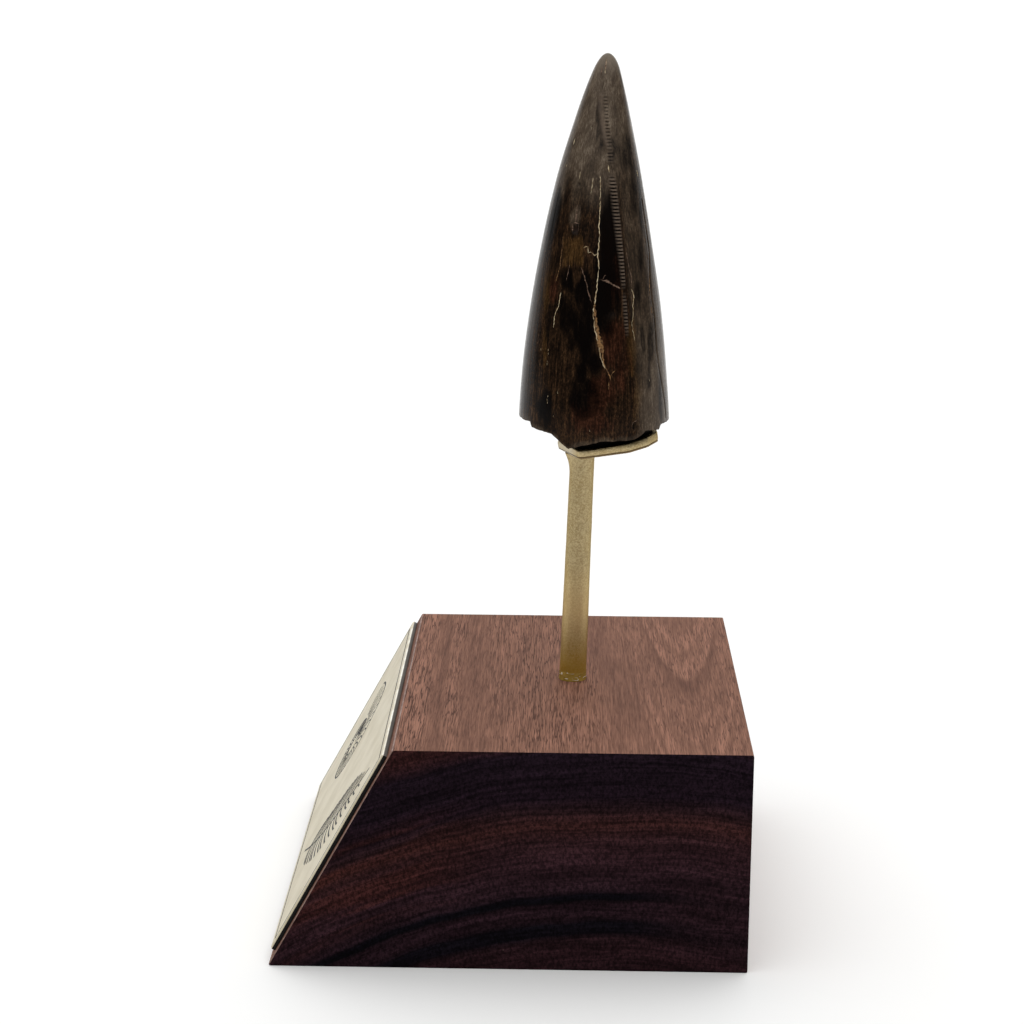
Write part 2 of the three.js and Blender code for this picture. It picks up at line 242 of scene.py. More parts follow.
# Broken root end
STUB_HALF_WIDTH = 5.0
STUB_HALF_LENGTH = 5.1
STUB_TOP = 2.4
STUB_FOOT = CRADLE_FLOOR + 0.02
UNDERSIDE_SHARE = 0.45
UNDERSIDE_HOLLOW = 0.25
UNDERSIDE_ROWS = 12
UNDERSIDE_ROUGHNESS = 0.16
UNDERSIDE_CELLS = 60
UNDERSIDE_DRIFT = 1.7
UNDERSIDE_FLOW = 0.4

# Cracks on the crown: width, then points as angle in degrees and depth below the tip
PALE_CRACKS_AND_HIGHLIGHTS = [
    (0.05, [(-90, 13.2), (-89.3, 14.6), (-89, 15.8)]),
    (0.062, [(-89, 15.8), (-89, 17.4), (-89.4, 19), (-89, 20), (-90, 21.2), (-90, 21.9), (-89, 23.3)]),
    (0.07, [(-89, 23.3), (-90, 24.4), (-90, 25.5), (-91, 26.6), (-92, 27.8)]),
    (0.05, [(-92, 27.8), (-90.6, 29.3), (-88.8, 31.1), (-86.9, 32.7), (-83.7, 33.9)]),
    (0.045, [(-98.2, 0.6), (-97.1, 1.1), (-96.6, 1.6), (-95.2, 2.2)]),
    (0.13, [(-103, 20.9), (-100.6, 20.75), (-98.4, 20.8)]),
    (0.09, [(-98.7, 20.85), (-97.9, 21.5)]),
    (0.11, [(-98, 21.45), (-96, 21.3), (-94.5, 21.35)]),
    (0.08, [(-94.3, 21.4), (-92.2, 21.7), (-90.2, 21.5)]),
    (0.055, [(-122, 25.8), (-122.8, 26.4), (-123.2, 27.3), (-125.8, 28), (-126.5, 28.6), (-126.5, 29.7)]),
    (0.042, [(-57.8, 25.4), (-56.1, 26.1), (-57.7, 27.1), (-58, 28.4), (-59.9, 29), (-58.1, 31)]),
    (0.1, [(-117.5, 12.8), (-116.5, 13.6)]),
    (0.05, [(-98, 13.4), (-98.5, 15.2)]),
    (0.16, [(-80.5, 11.9), (-79, 12.8)]),
    (0.1, [(-143, 9.3), (-144, 10)]),
    (0.08, [(-27, 12.8), (-27, 13.5)]),
    (0.05, [(70, 9), (67, 12), (71, 16), (66, 21)]),
    (0.06, [(128, 17), (123, 21), (131, 26), (126, 31)]),
]
# Painted highlights: tiny pale bars at glossy spots
HIGHLIGHT_SPECKS = [
    (-139, 32.2), (-130, 32.1), (-129.5, 32.5), (-130, 33.4), (-130, 33.7), (-127, 37.2), (-127.5, 37.6),
    (-127, 37.9), (-118, 36.6), (-121, 39.3), (-110, 8), (-147, 12.2), (-93, 40.6), (-44, 35.5),
]
HIGHLIGHT_SPECK_LENGTH = 0.22
HIGHLIGHT_SPECK_WIDTH = 0.08
# The painted highlight specks join the pale cracks as short bars
for speck_angle, speck_depth in HIGHLIGHT_SPECKS:
    speck_ends = [(speck_angle, speck_depth), (speck_angle, speck_depth + HIGHLIGHT_SPECK_LENGTH)]
    PALE_CRACKS_AND_HIGHLIGHTS.append((HIGHLIGHT_SPECK_WIDTH, speck_ends))
TAN_CRACKS = [
    (0.26, [(-91.6, 26.6), (-90.9, 27.9), (-89.6, 29.3), (-88, 30.2)]),
    (0.42, [(-90, 28.6), (-88.9, 29.8), (-87.4, 30.9), (-85.9, 32.2), (-84.4, 33.6)]),
    (0.07, [(-128.5, 19.8), (-127.5, 21.4), (-127, 23), (-129.5, 24.8)]),
    (0.08, [(-31.5, 20.2), (-31, 20.8)]),
    (0.08, [(-31, 22), (-30.4, 22.5)]),
    (0.09, [(-29, 23.8), (-33, 25.4), (-34, 26.4)]),
    (0.07, [(-33.4, 27.6), (-33, 28.6)]),
    (0.08, [(-84, 33.4), (-80.1, 34.7), (-79.5, 35.2)]),
    (0.09, [(-80, 34.7), (-78, 34.3), (-76.3, 34.1)]),
    (0.1, [(-81, 35.2), (-81.4, 36.2)]),
]
DIM_CRACKS = [
    (0.11, [(-104, 23), (-100.5, 24), (-98, 24.8), (-95.5, 25.9), (-93, 26.7)]),
    (0.2, [(-88.1, 24.3), (-85.6, 24.35), (-82, 24.45), (-79.3, 24.6), (-73.8, 25), (-68.1, 25.3)]),
    (0.12, [(-85.6, 24.3), (-83.7, 23.8), (-82.4, 23.9)]),
    (0.42, [(-114.6, 16.3), (-114.2, 17.1), (-113.9, 18.2)]),
    (0.14, [(-61.6, 41), (-59.5, 40.75), (-57.7, 40.2)]),
    (0.12, [(-62.3, 40.6), (-60.6, 39.9), (-58.6, 39.7)]),
    (0.15, [(-118.2, 18.34), (-114, 18.26), (-110, 18.36)]),
    (0.12, [(-110.4, 18.35), (-109.9, 19.2)]),
    (0.11, [(-117.9, 18.35), (-117.4, 19.3)]),
    (0.13, [(-98.4, 0.5), (-97.2, 1.2), (-96, 1.9)]),
    (0.2, [(-112, 1.5), (-110, 2), (-109, 2.5)]),
    (0.06, [(-62, 21.4), (-60.3, 22.5), (-57.6, 24.2), (-57.8, 25.2)]),
    (0.07, [(-116, 22.8), (-117.5, 24.6)]),
    (0.08, [(110, 22), (117, 23), (125, 22.6)]),
]
CRACK_DEPTH = 0.02
CRACK_BANK = 0.05
CRACK_STEP = 0.07
CRACK_WANDER = 0.045
CRACK_STRAIGHT = 2.5
CRACK_TAPER = 4
CRACK_PROUD = 0.03
CRACK_SUNK = 0.12
CRACK_END = 0.15
CRACK_LEAST = 0.3
# Noises along a crack: share, length of a cell, row in the noise for the width, further layers
CRACK_SWELLS = [(0.4, 0.8, 9.0, 3), (0.6, 0.16, 12.0, 5)]
# Wander of a crack: length of a cell, rows in the noise for each layer
CRACK_BENDS = [(0.9, 2.0), (0.2, 5.0)]

# Lines on the crown as angle in degrees and depth below the tip, and their height or depth and width
SEAM = [
    (-24, 16), (-23.5, 21.4), (-29, 24), (-31, 26.5), (-29.5, 29), (-32, 32.4), (-28, 35.6), (-22, 38.6),
    (-20, 40.5),
]
SEAM_DEPTH = 0.1
SEAM_WIDTH = 0.14
RIDGE = [(-99, 4.6), (-97.6, 6.1), (-92.2, 7.2), (-88.4, 8.5), (-83.6, 9.7), (-79.6, 10.3)]
RIDGE_HEIGHT = 0.2
RIDGE_WIDTH = 0.28
TROUGH = [(-86, 12.8), (-82, 16), (-79, 20), (-78, 24), (-77, 27.5)]
TROUGH_DEPTH = 0.22
TROUGH_WIDTH = 0.8
# Pits: angle, depth, half width, half length, depth of the pit, shade inside it
PITS = [
    (-113.8, 18.85, 0.36, 0.4, 0.28, 0.3), (-60, 40.4, 0.36, 0.45, 0.3, 0.9),
    (-116, 14.1, 0.2, 0.2, 0.12, 0.6),
]
PIT_WALL = (0.8, 1.2)
PIT_SHADE = (0.6, 1.1)

# Stains on the crown: angle, depth, half width across, half length down
OCHRE_STAINS = [
    (-114, 21.4, 1.5, 1.6), (-134, 32.4, 0.5, 2.4), (-141, 26, 1, 2), (60, 30, 2, 5),
    (140, 24, 2, 4), (-60, 32, 0.9, 3.2), (-57, 36.8, 1.1, 3), (100, 36, 2, 4),
]
RED_STAINS = [
    (-84, 36.6, 1.9, 2.8), (-76, 31, 1.3, 2.5), (-90, 39.6, 2.6, 1.6), (-113.8, 18.9, 0.5, 0.5),
    (-72, 34, 1.2, 3), (20, 34, 2, 4), (160, 34, 2, 4), (-131, 25.8, 1, 1.5),
]
BLACK_STAINS = [
    (-152, 19.2, 0.7, 1.6), (-117, 28.2, 1.2, 2), (-99, 36.2, 1.2, 2.6), (-129, 38.6, 1.4, 2),
    (-101, 25.4, 1.0, 1.8), (-116, 24.4, 1.0, 1.2), (-90, 33.6, 0.8, 1.4), (-104, 29.5, 1.2, 1.8),
    (-98.5, 28, 0.9, 1.6), (-82, 22, 1.1, 5.5), (-84, 27, 1.1, 2.4), (-97, 31.5, 0.7, 2),
    (40, 22, 2, 4), (110, 14, 2, 3),
]
SMUDGES = [
    (-47, 10.4, 0.9, 1.7), (-101, 6.6, 0.4, 1.6), (-96, 8.4, 0.4, 1.4), (-90, 9.9, 0.4, 1.3),
    (-76, 10.6, 0.4, 1.4), (-30, 16.6, 0.5, 2), (-146, 17.4, 0.8, 2.4), (-40, 15, 0.8, 2.6),
    (-43, 22.8, 0.6, 2.6), (-51, 25.6, 0.6, 1.5), (-49, 31.1, 0.45, 1.8), (-39, 31.6, 0.65, 2.8),
    (-44, 34.4, 0.45, 2), (-30, 38.2, 0.5, 2.4),
]
PALE_PATCHES = [(-114, 17.6, 0.7, 1.1), (-110, 1.9, 0.4, 0.6)]
STAIN_EDGE = (0.2, 1.6)
# How far noises push an edge about: amount, cells in a turn, length of a cell, noise layer
STAIN_FRAY = [(0.5, 40, 2.0, 4), (0.35, 110, 1.5, 6)]
TROUGH_FRAY = [(1.5, 60, 3, 7)]
UPPER_FRAY = [(2.5, 30, 5, 5)]
CHIP_FRAY = [(0.2, 70, 1, 9)]
SEAM_FRAY = [(1, 50, 1.1, 8)]
SEAM_SHADE = ((-0.4, 0.5), (0.3, 0.8))
# The black hollow between the main crack and the serrated edge: ranges over which it comes and goes
TROUGH_LEFT = (math.radians(-90.5), math.radians(-83))
TROUGH_RIGHT = (math.radians(-5), math.radians(-2.5))
TROUGH_TOP = (12.4, 18)
TROUGH_BOTTOM = (24, 29)
TROUGH_RED = 0.6
# Paler tone right of the serrated edge: angle past the edge where it starts, its end and strength by depth
RIGHT_START = 0.02
RIGHT_END = ((23, 33), (0.14, 0.24))
RIGHT_STRENGTH = ((26, 34), (0.38, 0.84))
FACING_CAMERA = (0.6, 1.3)
# Paler tone of the upper crown, its loss to the right, a painted highlight along the chipped root edge, and
# the paler patches
UPPER_END = (9, 18)
UPPER_LOSS = 0.25
UPPER_LOSS_SPAN = (0.02, 0.5)
ROOT_RIM_HIGHLIGHT = ((-0.5, -0.1), (0, 0.45))
PATCH_STRENGTH = 0.65
# Painted highlight on the ridge, as a share of the crests' painted highlight
RIDGE_HIGHLIGHT = 0.7
FLOW_RADIUS = 8
FLOW_TIP_RADIUS = 1.5

# Colours as sRGB bytes, the tones with the share at which each lies
UMBER_TONES = [
    (0.0, (10, 7, 6)), (0.3, (20, 14, 10)), (0.55, (42, 29, 19)), (0.8, (70, 50, 33)), (1.0, (100, 76, 52)),
]
TAUPE_TONES = [(0.0, (36, 31, 27)), (0.5, (84, 72, 60)), (1.0, (134, 121, 105))]
OCHRE_TONES = [(0.0, (18, 13, 8)), (0.45, (60, 42, 22)), (1.0, (104, 76, 44))]
RED_TONES = [(0.0, (13, 7, 5)), (0.45, (41, 22, 14)), (1.0, (86, 51, 36))]
TIP_GREY = (132, 121, 108)
# Painted highlight on the denticle crests and the ridge
CREST_HIGHLIGHT = (122, 106, 92)
# Painted shade in the slots, the seam and the pits, and over the root's underside
TOOTH_PAINTED_SHADE = (9, 8, 8)
TOOTH_BROWN = (60, 45, 33)
# Pale crack mineral, also the colour of the painted highlight specks
PALE_MINERAL_AND_HIGHLIGHT = (222, 206, 172)
CRACK_SHADE = (176, 150, 112)
CRACK_TAN = (152, 114, 72)
CRACK_TAN_SHADE = (66, 46, 30)
CRACK_DIM = (128, 103, 87)
BRASS_LIGHT = (196, 178, 138)
BRASS_DARK = (152, 132, 92)
BRASS_EDGE = (205, 196, 176)
# Painted shade along the cradle's lower lip
LIP_PAINTED_SHADE = (124, 98, 62)
BRASS_WARM = (206, 176, 124)
# Paler, silvery colour towards the cradle's left end
CRADLE_SILVER = (214, 208, 194)
LONG_TONES = [(0.46, (98, 66, 54)), (0.64, (130, 92, 75)), (0.84, (156, 112, 93))]
WALNUT_PORE = (66, 40, 32)
# End grain by share of the ring span, outwards from the pith
RING_TONES = [
    (0.0, (44, 26, 30)), (0.1, (45, 26, 30)), (0.145, (42, 25, 29)), (0.168, (16, 12, 18)),
    (0.205, (15, 12, 18)), (0.228, (39, 24, 30)), (0.282, (38, 23, 29)), (0.296, (12, 10, 15)),
    (0.314, (13, 10, 16)), (0.332, (40, 25, 31)), (0.46, (50, 30, 35)), (0.53, (51, 30, 33)),
    (0.59, (59, 33, 32)), (0.64, (42, 25, 28)), (0.69, (29, 18, 26)), (0.87, (29, 19, 27)),
    (0.94, (54, 29, 29)),
]
END_MID = (42, 25, 30)
END_RUST = (62, 31, 26)
# Painted highlight on the block's edges at the sloped end
ARRIS_HIGHLIGHT_PALE = (152, 126, 116)
ARRIS_HIGHLIGHT_DIM = (122, 96, 87)
CREAM = (212, 202, 176)
CREAM_SHADE = (198, 187, 158)
# Painted highlight on the cream face's upper edge and bevel
CREAM_HIGHLIGHT = (246, 244, 232)
# Painted light: lit grey tones on the black core's upper edge
CORE_LIT_EDGE = (74, 71, 63)
CORE_LIT_EDGE_DIM = (54, 52, 47)
CORE_BLACK = (10, 9, 9)
CORE_GREY = (19, 17, 16)
GLUE_GOLD = (180, 150, 70)
GLUE_SHADE = (160, 130, 56)
GLUE_GLINT = (255, 250, 228)
GLUE_OLIVE = (188, 150, 42)
FLOOR_COLOUR = (246, 246, 245)
FLOOR_SHADE = (244.4, 244.4, 243.4)

# Smooth noise on a lattice of seeded values, with a period in its first direction
NOISE_SEED = 7
NOISE_SIDE = 256
NOISE_START = 64
LAYER_SHIFT = (37, 53)
NOISE_TABLE = np.random.default_rng(NOISE_SEED).uniform(-1, 1, (NOISE_SIDE, NOISE_SIDE))


def smooth_step(value, span, to=(0, 1)):
    """A value's span turned into another by a smooth step, and held past its ends."""
    share = np.clip((value - span[0]) / (span[1] - span[0]), 0, 1)
    return to[0] + (to[1] - to[0]) * share * share * (3 - 2 * share)


def lattice_noise(across, along, period=NOISE_SIDE, layer=0):
    """Noise between -1 and 1 that repeats every period steps across."""
    i = np.floor(across).astype(int)
    j = np.floor(along).astype(int)
    u = smooth_step(across - i, (0, 1))
    v = smooth_step(along - j, (0, 1))

    def value(di, dj):
        column = (i + di) % period + LAYER_SHIFT[0] * layer
        row = j + dj + LAYER_SHIFT[1] * layer
        return NOISE_TABLE[column % NOISE_SIDE, row % NOISE_SIDE]

    near = value(0, 0) * (1 - u) + value(1, 0) * u
    far = value(0, 1) * (1 - u) + value(1, 1) * u
    return near * (1 - v) + far * v


def turn_noise(angle, depth, waves):
    """Noises round the tooth in a list of height, cells in a turn, length of a cell and layer."""
    total = 0
    for tall, cells, length, layer in waves:
        total = total + tall * lattice_noise(angle / TURN * cells, depth / length + NOISE_START, cells, layer)
    return total


# Meshes
CREASE = 40


def new_object(name, data):
    """An object in the scene's own collection."""
    made = bpy.data.objects.new(name, data)
    bpy.context.scene.collection.objects.link(made)
    return made


def new_mesh(name, form):
    """A mesh in metres from points in millimetres and faces."""
    points, faces = form
    mesh = bpy.data.meshes.new(name)
    mesh.from_pydata((np.asarray(points) * MM).tolist(), [], faces)
    return mesh


def mesh_piece(name, form, looks, replaces=None, look_of_face=None, crease=CREASE):
    """A closed piece that rides on the stand, made from points in millimetres and faces."""
    mesh = new_mesh(name, form)
    for look in looks:
        mesh.materials.append(look)
    if look_of_face is not None:
        mesh.polygons.foreach_set("material_index", np.asarray(look_of_face, dtype=np.int32))
    shell = bmesh.new()
    shell.from_mesh(mesh)
    bmesh.ops.recalc_face_normals(shell, faces=shell.faces)
    shell.to_mesh(mesh)
    shell.free()
    mesh.shade_smooth()
    mesh.set_sharp_from_angle(angle=math.radians(crease))
    piece = new_object(name, mesh)
    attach(piece, "root")
    if replaces:
        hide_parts(replaces)
    return piece


def grid_faces(rows, columns, start=0, close=False):
    """Quads of a grid of points that are numbered row by row."""
    near = np.arange(rows - 1)[:, None] * columns + start
    far = near + columns
    column = np.arange(columns if close else columns - 1)[None, :]
    after = (column + 1) % columns
    return np.stack((near + column, near + after, far + after, far + column), -1).reshape(-1, 4).tolist()


def loft(rings, capped=True):
    """Points and faces of a surface through closed rings of equal length."""
    rings = np.asarray(rings, dtype=float)
    rows, columns = rings.shape[:2]
    faces = grid_faces(rows, columns, close=True)
    if capped:
        faces.append(list(range(columns))[::-1])
        faces.append(list(range((rows - 1) * columns, rows * columns)))
    return rings.reshape(-1, 3), faces


def joined(forms):
    """Several lots of points and faces as one."""
    points, faces, start = [], [], 0
    for part_points, part_faces in forms:
        points.append(part_points)
        faces.extend([[index + start for index in face] for face in part_faces])
        start += len(part_points)
    return np.concatenate(points), faces


def tilted(points, angle, origin):
    """Points of a frame that is turned up towards +X by an angle and moved to an origin."""
    x, y, z = np.moveaxis(np.asarray(points, dtype=float), -1, 0)
    c, s = math.cos(angle), math.sin(angle)
    return np.stack((x * c - z * s, y, x * s + z * c), -1) + origin


def full_turn(sides):
    """Angles round a full turn."""
    return np.linspace(0, TURN, sides, endpoint=False)


def turned(angle, radius):
    """Level points at angles and a radius round the origin."""
    return np.stack((radius * np.cos(angle), radius * np.sin(angle), np.zeros_like(angle)), -1)


def unit(vectors):
    """Vectors of length 1 in the same directions."""
    return vectors / np.linalg.norm(vectors, axis=-1, keepdims=True)


def sideways(path):
    """Unit vectors to the left of a flat path."""
    along = unit(np.gradient(path, axis=0))
    return np.stack((-along[:, 1], along[:, 0]), -1)


def inset_corners(corners, distance):
    """Corners of a convex outline after each of its sides has moved in."""
    corners = np.asarray(corners, dtype=float)
    to_before = unit(np.roll(corners, 1, 0) - corners)
    to_after = unit(np.roll(corners, -1, 0) - corners)
    half_angle = np.arccos((to_before * to_after).sum(1)) / 2
    return corners + unit(to_before + to_after) * (distance / np.sin(half_angle))[:, None]


def rounded_outline(corners, radius, inset, arc_steps, side_steps):
    """Points round a convex, counterclockwise outline with round corners, moved in by an inset."""
    inner = inset_corners(corners, radius)
    side = np.roll(inner, -1, 0) - inner
    normal_angle = np.arctan2(-side[:, 0], side[:, 1])
    arcs = []
    for i, centre in enumerate(inner):
        start = normal_angle[i - 1]
        sweep = (normal_angle[i] - start) % TURN
        angle = start + sweep * np.linspace(0, 1, arc_steps + 1)
        arcs.append(centre + turned(angle, radius - inset)[:, :2])
    outline = []
    share = np.linspace(0, 1, side_steps + 2)[1:-1, None]
    for arc, after in zip(arcs, arcs[1:] + arcs[:1]):
        outline += [arc, arc[-1] * (1 - share) + after[0] * share]
    return np.concatenate(outline)


# Shader nodes, whose outputs are values that can be added and multiplied like numbers
NOISE_MIDDLE = 0.5
LINE_DETAIL = 2


def linear(colour):
    """sRGB bytes as the linear RGBA that shaders take."""
    share = np.array(colour) / 255
    value = np.where(share <= 0.04045, share / 12.92, ((share + 0.055) / 1.055) ** 2.4)
    return (*value.tolist(), 1.0)


def set_inputs(made, inputs):
    """Inputs of a node set to numbers or joined to values."""
    for name, value in inputs.items():
        if isinstance(value, Value):
            made.id_data.links.new(value.socket, made.inputs[name])
        else:
            made.inputs[name].default_value = value


def node(tree, kind, inputs, output=0, **settings):
    """One output of a new node as a value."""
    made = tree.nodes.new("ShaderNode" + kind)
    for name, setting in settings.items():
        setattr(made, name, setting)
    set_inputs(made, inputs)
    return Value(made.outputs[output])


class Value:
    """A number, place or colour in a shader."""

    def __init__(self, socket):
        self.socket = socket

    def node(self, kind, inputs, output=0, **settings):
        return node(self.socket.id_data, kind, inputs, output, **settings)

    def beside(self, output):
        """Another output of the node that this value comes from."""
        return Value(self.socket.node.outputs[output])

    def math(self, operation, first, second=0.0, clamp=False):
        return self.node("Math", {0: first, 1: second}, operation=operation, use_clamp=clamp)

    def __add__(self, other):
        return self.math("ADD", self, other)

    def __sub__(self, other):
        return self.math("SUBTRACT", self, other)

    def __rsub__(self, other):
        return self.math("SUBTRACT", other, self)

    def __mul__(self, other):
        return self.math("MULTIPLY", self, other)

    def __abs__(self):
        return self.math("ABSOLUTE", self)

    def most(self, other):
        """The greater of two values."""
        return self.math("MAXIMUM", self, other)

    def clamped(self):
        """The value kept between 0 and 1."""
        return self.math("ADD", self, clamp=True)

    def swing(self, amount):
        """A noise as a swing to both sides of zero."""
        return (self - NOISE_MIDDLE) * amount

    def step(self, span, to=(0, 1)):
        """A value's span turned into another by a smooth step, and held past its ends."""
        ends = {"From Min": span[0], "From Max": span[1], "To Min": to[0], "To Max": to[1]}
        return self.node("MapRange", {"Value": self, **ends}, interpolation_type="SMOOTHSTEP")

    def scaled(self, scale):
        """A place with each of its parts multiplied by its own number."""
        return self.node("VectorMath", {0: self, 1: scale}, operation="MULTIPLY")

    def split(self):
        """Parts of a place along X, Y and Z."""
        x = self.node("SeparateXYZ", {0: self})
        return x, x.beside(1), x.beside(2)

    def noise(self, scale, detail=3, roughness=0.55):
        """Noise over places, with one scale or one for each direction."""
        place = self
        if isinstance(scale, tuple):
            place = self.scaled(scale)
            scale = 1
        inputs = {"Vector": place, "Scale": scale, "Detail": detail, "Roughness": roughness}
        return self.node("TexNoise", inputs, "Fac")

    def line_noise(self, scale):
        """Noise along one number."""
        inputs = {"W": self, "Scale": scale, "Detail": LINE_DETAIL}
        return self.node("TexNoise", inputs, "Fac", noise_dimensions="1D")

    def mix(self, first, second):
        """Colour that goes from the first to the second as this share goes from 0 to 1."""
        first, second = [tone if isinstance(tone, Value) else linear(tone) for tone in (first, second)]
        return self.node("Mix", {0: self, 6: first, 7: second}, 2, data_type="RGBA")

    def ramp(self, tones):
        """Colour along a list of share and colour."""
        made = self.node("ValToRGB", {0: self})
        stops = made.socket.node.color_ramp.elements
        for _ in tones[2:]:
            stops.new(1)
        for stop, (place, colour) in zip(stops, tones):
            stop.position = place
            stop.color = linear(colour)
        return made

    def lit(self, factor):
        """A colour made lighter or darker by a factor."""
        return self.node("VectorMath", {0: self, "Scale": factor}, operation="SCALE")

    def bump(self, strength, distance):
        """Normal over this height."""
        return self.node("Bump", {"Height": self, "Strength": strength, "Distance": distance * MM})


def new_material(name):
    """A material with a Principled shader, and the place on the object in millimetres."""
    material = bpy.data.materials.new(name)
    material.use_nodes = True
    place = node(material.node_tree, "TexCoord", {}, "Object")
    return material, place.scaled((1 / MM, 1 / MM, 1 / MM))


def finished(material, colour, roughness, inputs):
    """A material with its shader's inputs set."""
    inputs = {"Base Color": colour, "Roughness": roughness, **inputs}
    set_inputs(material.node_tree.nodes["Principled BSDF"], inputs)
    return material


def mottled(name, dark, light, grain, span, roughness, relief=None):
    """A plain material whose colour goes between two tones with one noise."""
    material, place = new_material(name)
    speck = place.noise(*grain)
    inputs = {"Specular IOR Level": 0.2}
    if relief:
        inputs["Normal"] = speck.bump(*relief)
    return finished(material, speck.step(span).mix(dark, light), roughness, inputs)


# Walnut: a noise is scale, detail and roughness, and a step is a span and what it becomes
PITH_X = 14
PITH_Z = -60
PITH_DRIFT_X = 0.03
PITH_DRIFT_Z = 0.01
RING_NOISE = ((0.07, 0.0084, 0.07), 2)
RING_WANDER = 2.2
RING_START = 60
RING_SPAN = 30
# Long grain: soft bands, an arched figure that bends back from its middle, fibres, clouds and pores
BAND_SCALE = 0.9
BAND_STEP = ((0.2, 0.8), (0.25, 0.75))
FIGURE_X = 20.5
FIGURE_BEND = 1.1
FIGURE_SCALE = 0.11
FIGURE_STEP = ((0.3, 0.7), (0.2, 0.85))
FIGURE_EDGE = (3, 8)
FIBRE_NOISE = ((3.6, 0.16, 3.6), 4, 0.7)
CLOUD_NOISE = ((0.14, 0.06, 0.14), 3)
FIBRE_SHARE = 0.7
CLOUD_SHARE = 0.2
BAND_SHARE = 0.4
FINE_NOISE = ((11, 0.24, 11), 1)
FINE_PORES = ((0.54, 0.64), (0, 0.58))
COARSE_NOISE = ((4.4, 0.13, 4.4), 2)
COARSE_PORES = ((0.01, 0.06), (0.8, 0))
CROWD_BY_CLOUD = ((0.35, 0.65), (0.7, 1))
CROWD_BY_BAND = ((0.4, 0.6), (0.55, 1))
CROWD_BY_X = ((2, 14), (1.2, 0.95))
FIBRE_HEIGHT = 0.3
# End grain: two dark bands that fade along X, rust towards the label, lines along the rings, grit, dust
DARK_START = (0.08, 0.12)
DARK_END = (0.34, 0.4)
DARK_FADE = ((12, 23), (0, 0.7))
PATCH_STRETCH = 0.09
LINE_STRETCH = 0.035
RUST_NOISE = (0.42, 3)
RUST_STEP = ((0.42, 0.62), (0, 0.62))
RUST_SIDE = (0, -13)
RUST_EDGE = (0.64, 0.76)
LINE_NOISE = (2.6, 4, 0.7)
LINE_LIGHT = ((0.36, 0.64), (1.18, 0.62))
SOFT_NOISE = (1.1, 3)
SOFT_LIGHT = ((0.36, 0.64), (1.2, 0.72))
GRIT_NOISE = ((4.2, 4.2, 2.94), 3, 0.7)
GRIT_LIGHT = ((0.34, 0.66), (1.5, 0.45))
DUST_SCALE = 0.3
DUST_CHOSEN = (0.72, 0.74)
DUST_STEP = ((0.012, 0.03), (0.5, 0))
# Painted highlight on the rounded edge between the top and the sloped end, and on the sloped end's arrises
ARRIS_HIGHLIGHT_NOISE = (0.9, 4, 0.65)
ARRIS_HIGHLIGHT_SPAN = (0.4, 0.62)
ARRIS_BUMP = (0.3, 0.03)


def ring_frame(place):
    """Distance from the pith, with the wander of real growth rings, and distance along the ring."""
    x, y, z = place.split()
    off_x = x - PITH_X - y * PITH_DRIFT_X
    off_z = z - PITH_Z - y * PITH_DRIFT_Z
    flat = place.node("CombineXYZ", {0: off_x, 1: off_z})
    distance = place.node("VectorMath", {0: flat}, "Value", operation="LENGTH")
    along = place.math("ARCTAN2", off_x, off_z) * RING_START
    return distance + place.noise(*RING_NOISE).swing(RING_WANDER), along


def walnut_long():
    """Long grain: straight pores along Y over soft bands of the growth rings."""
    material, place = new_material("walnut_long")
    x, y, _ = place.split()
    band = ring_frame(place)[0].line_noise(BAND_SCALE).step(*BAND_STEP)
    off = x - FIGURE_X
    figure = (y - off * off * FIGURE_BEND).line_noise(FIGURE_SCALE).step(*FIGURE_STEP)
    band = band + (figure - band) * abs(off).step(FIGURE_EDGE, FADE_OUT)
    fibre = place.noise(*FIBRE_NOISE)
    cloud = place.noise(*CLOUD_NOISE)
    tone = fibre * FIBRE_SHARE + cloud * CLOUD_SHARE + band * BAND_SHARE
    fine = place.noise(*FINE_NOISE).step(*FINE_PORES)
    coarse = abs(place.noise(*COARSE_NOISE) - NOISE_MIDDLE).step(*COARSE_PORES)
    crowd = cloud.step(*CROWD_BY_CLOUD) * band.step(*CROWD_BY_BAND) * x.step(*CROWD_BY_X)
    pores = fine.most(coarse) * crowd
    colour = pores.mix(tone.ramp(LONG_TONES), WALNUT_PORE)
    normal = (fibre * FIBRE_HEIGHT - pores).bump(0.4, 0.04)
    return finished(material, colour, 0.65, {"Specular IOR Level": 0.06, "Normal": normal})


def walnut_end():
    """End grain: dark arcs of the growth rings, fine lines along them, rust towards the label, some dust."""
    material, place = new_material("walnut_end")
    x = place.split()[0]
    rings, along = ring_frame(place)
    share = (rings - RING_START) * (1 / RING_SPAN)
    wide = place.node("CombineXYZ", {0: along * PATCH_STRETCH, 1: rings})
    narrow = place.node("CombineXYZ", {0: along * LINE_STRETCH, 1: rings})
    off_dark = share.step(DARK_START, FADE_OUT).most(share.step(DARK_END))
    faded = (1.0 - off_dark) * x.step(*DARK_FADE)
    colour = faded.mix(share.ramp(RING_TONES), END_MID)
    rusty = x.step(RUST_SIDE) * share.step(RUST_EDGE, FADE_OUT) * off_dark
    colour = (wide.noise(*RUST_NOISE).step(*RUST_STEP) * rusty).mix(colour, END_RUST)
    lines = narrow.noise(*LINE_NOISE)
    soft = wide.noise(*SOFT_NOISE)
    grit = place.noise(*GRIT_NOISE)
    for grain, light in ((lines, LINE_LIGHT), (soft, SOFT_LIGHT), (grit, GRIT_LIGHT)):
        colour = colour.lit(grain.step(*light))
    dust = place.node("TexVoronoi", {"Vector": place, "Scale": DUST_SCALE}, "Distance")
    chosen = dust.beside("Color").split()[0].step(DUST_CHOSEN)
    colour = (dust.step(*DUST_STEP) * chosen).mix(colour, CREAM)
    normal = (grit + lines).bump(0.35, 0.04)
    return finished(material, colour, 0.75, {"Specular IOR Level": 0.03, "Normal": normal})


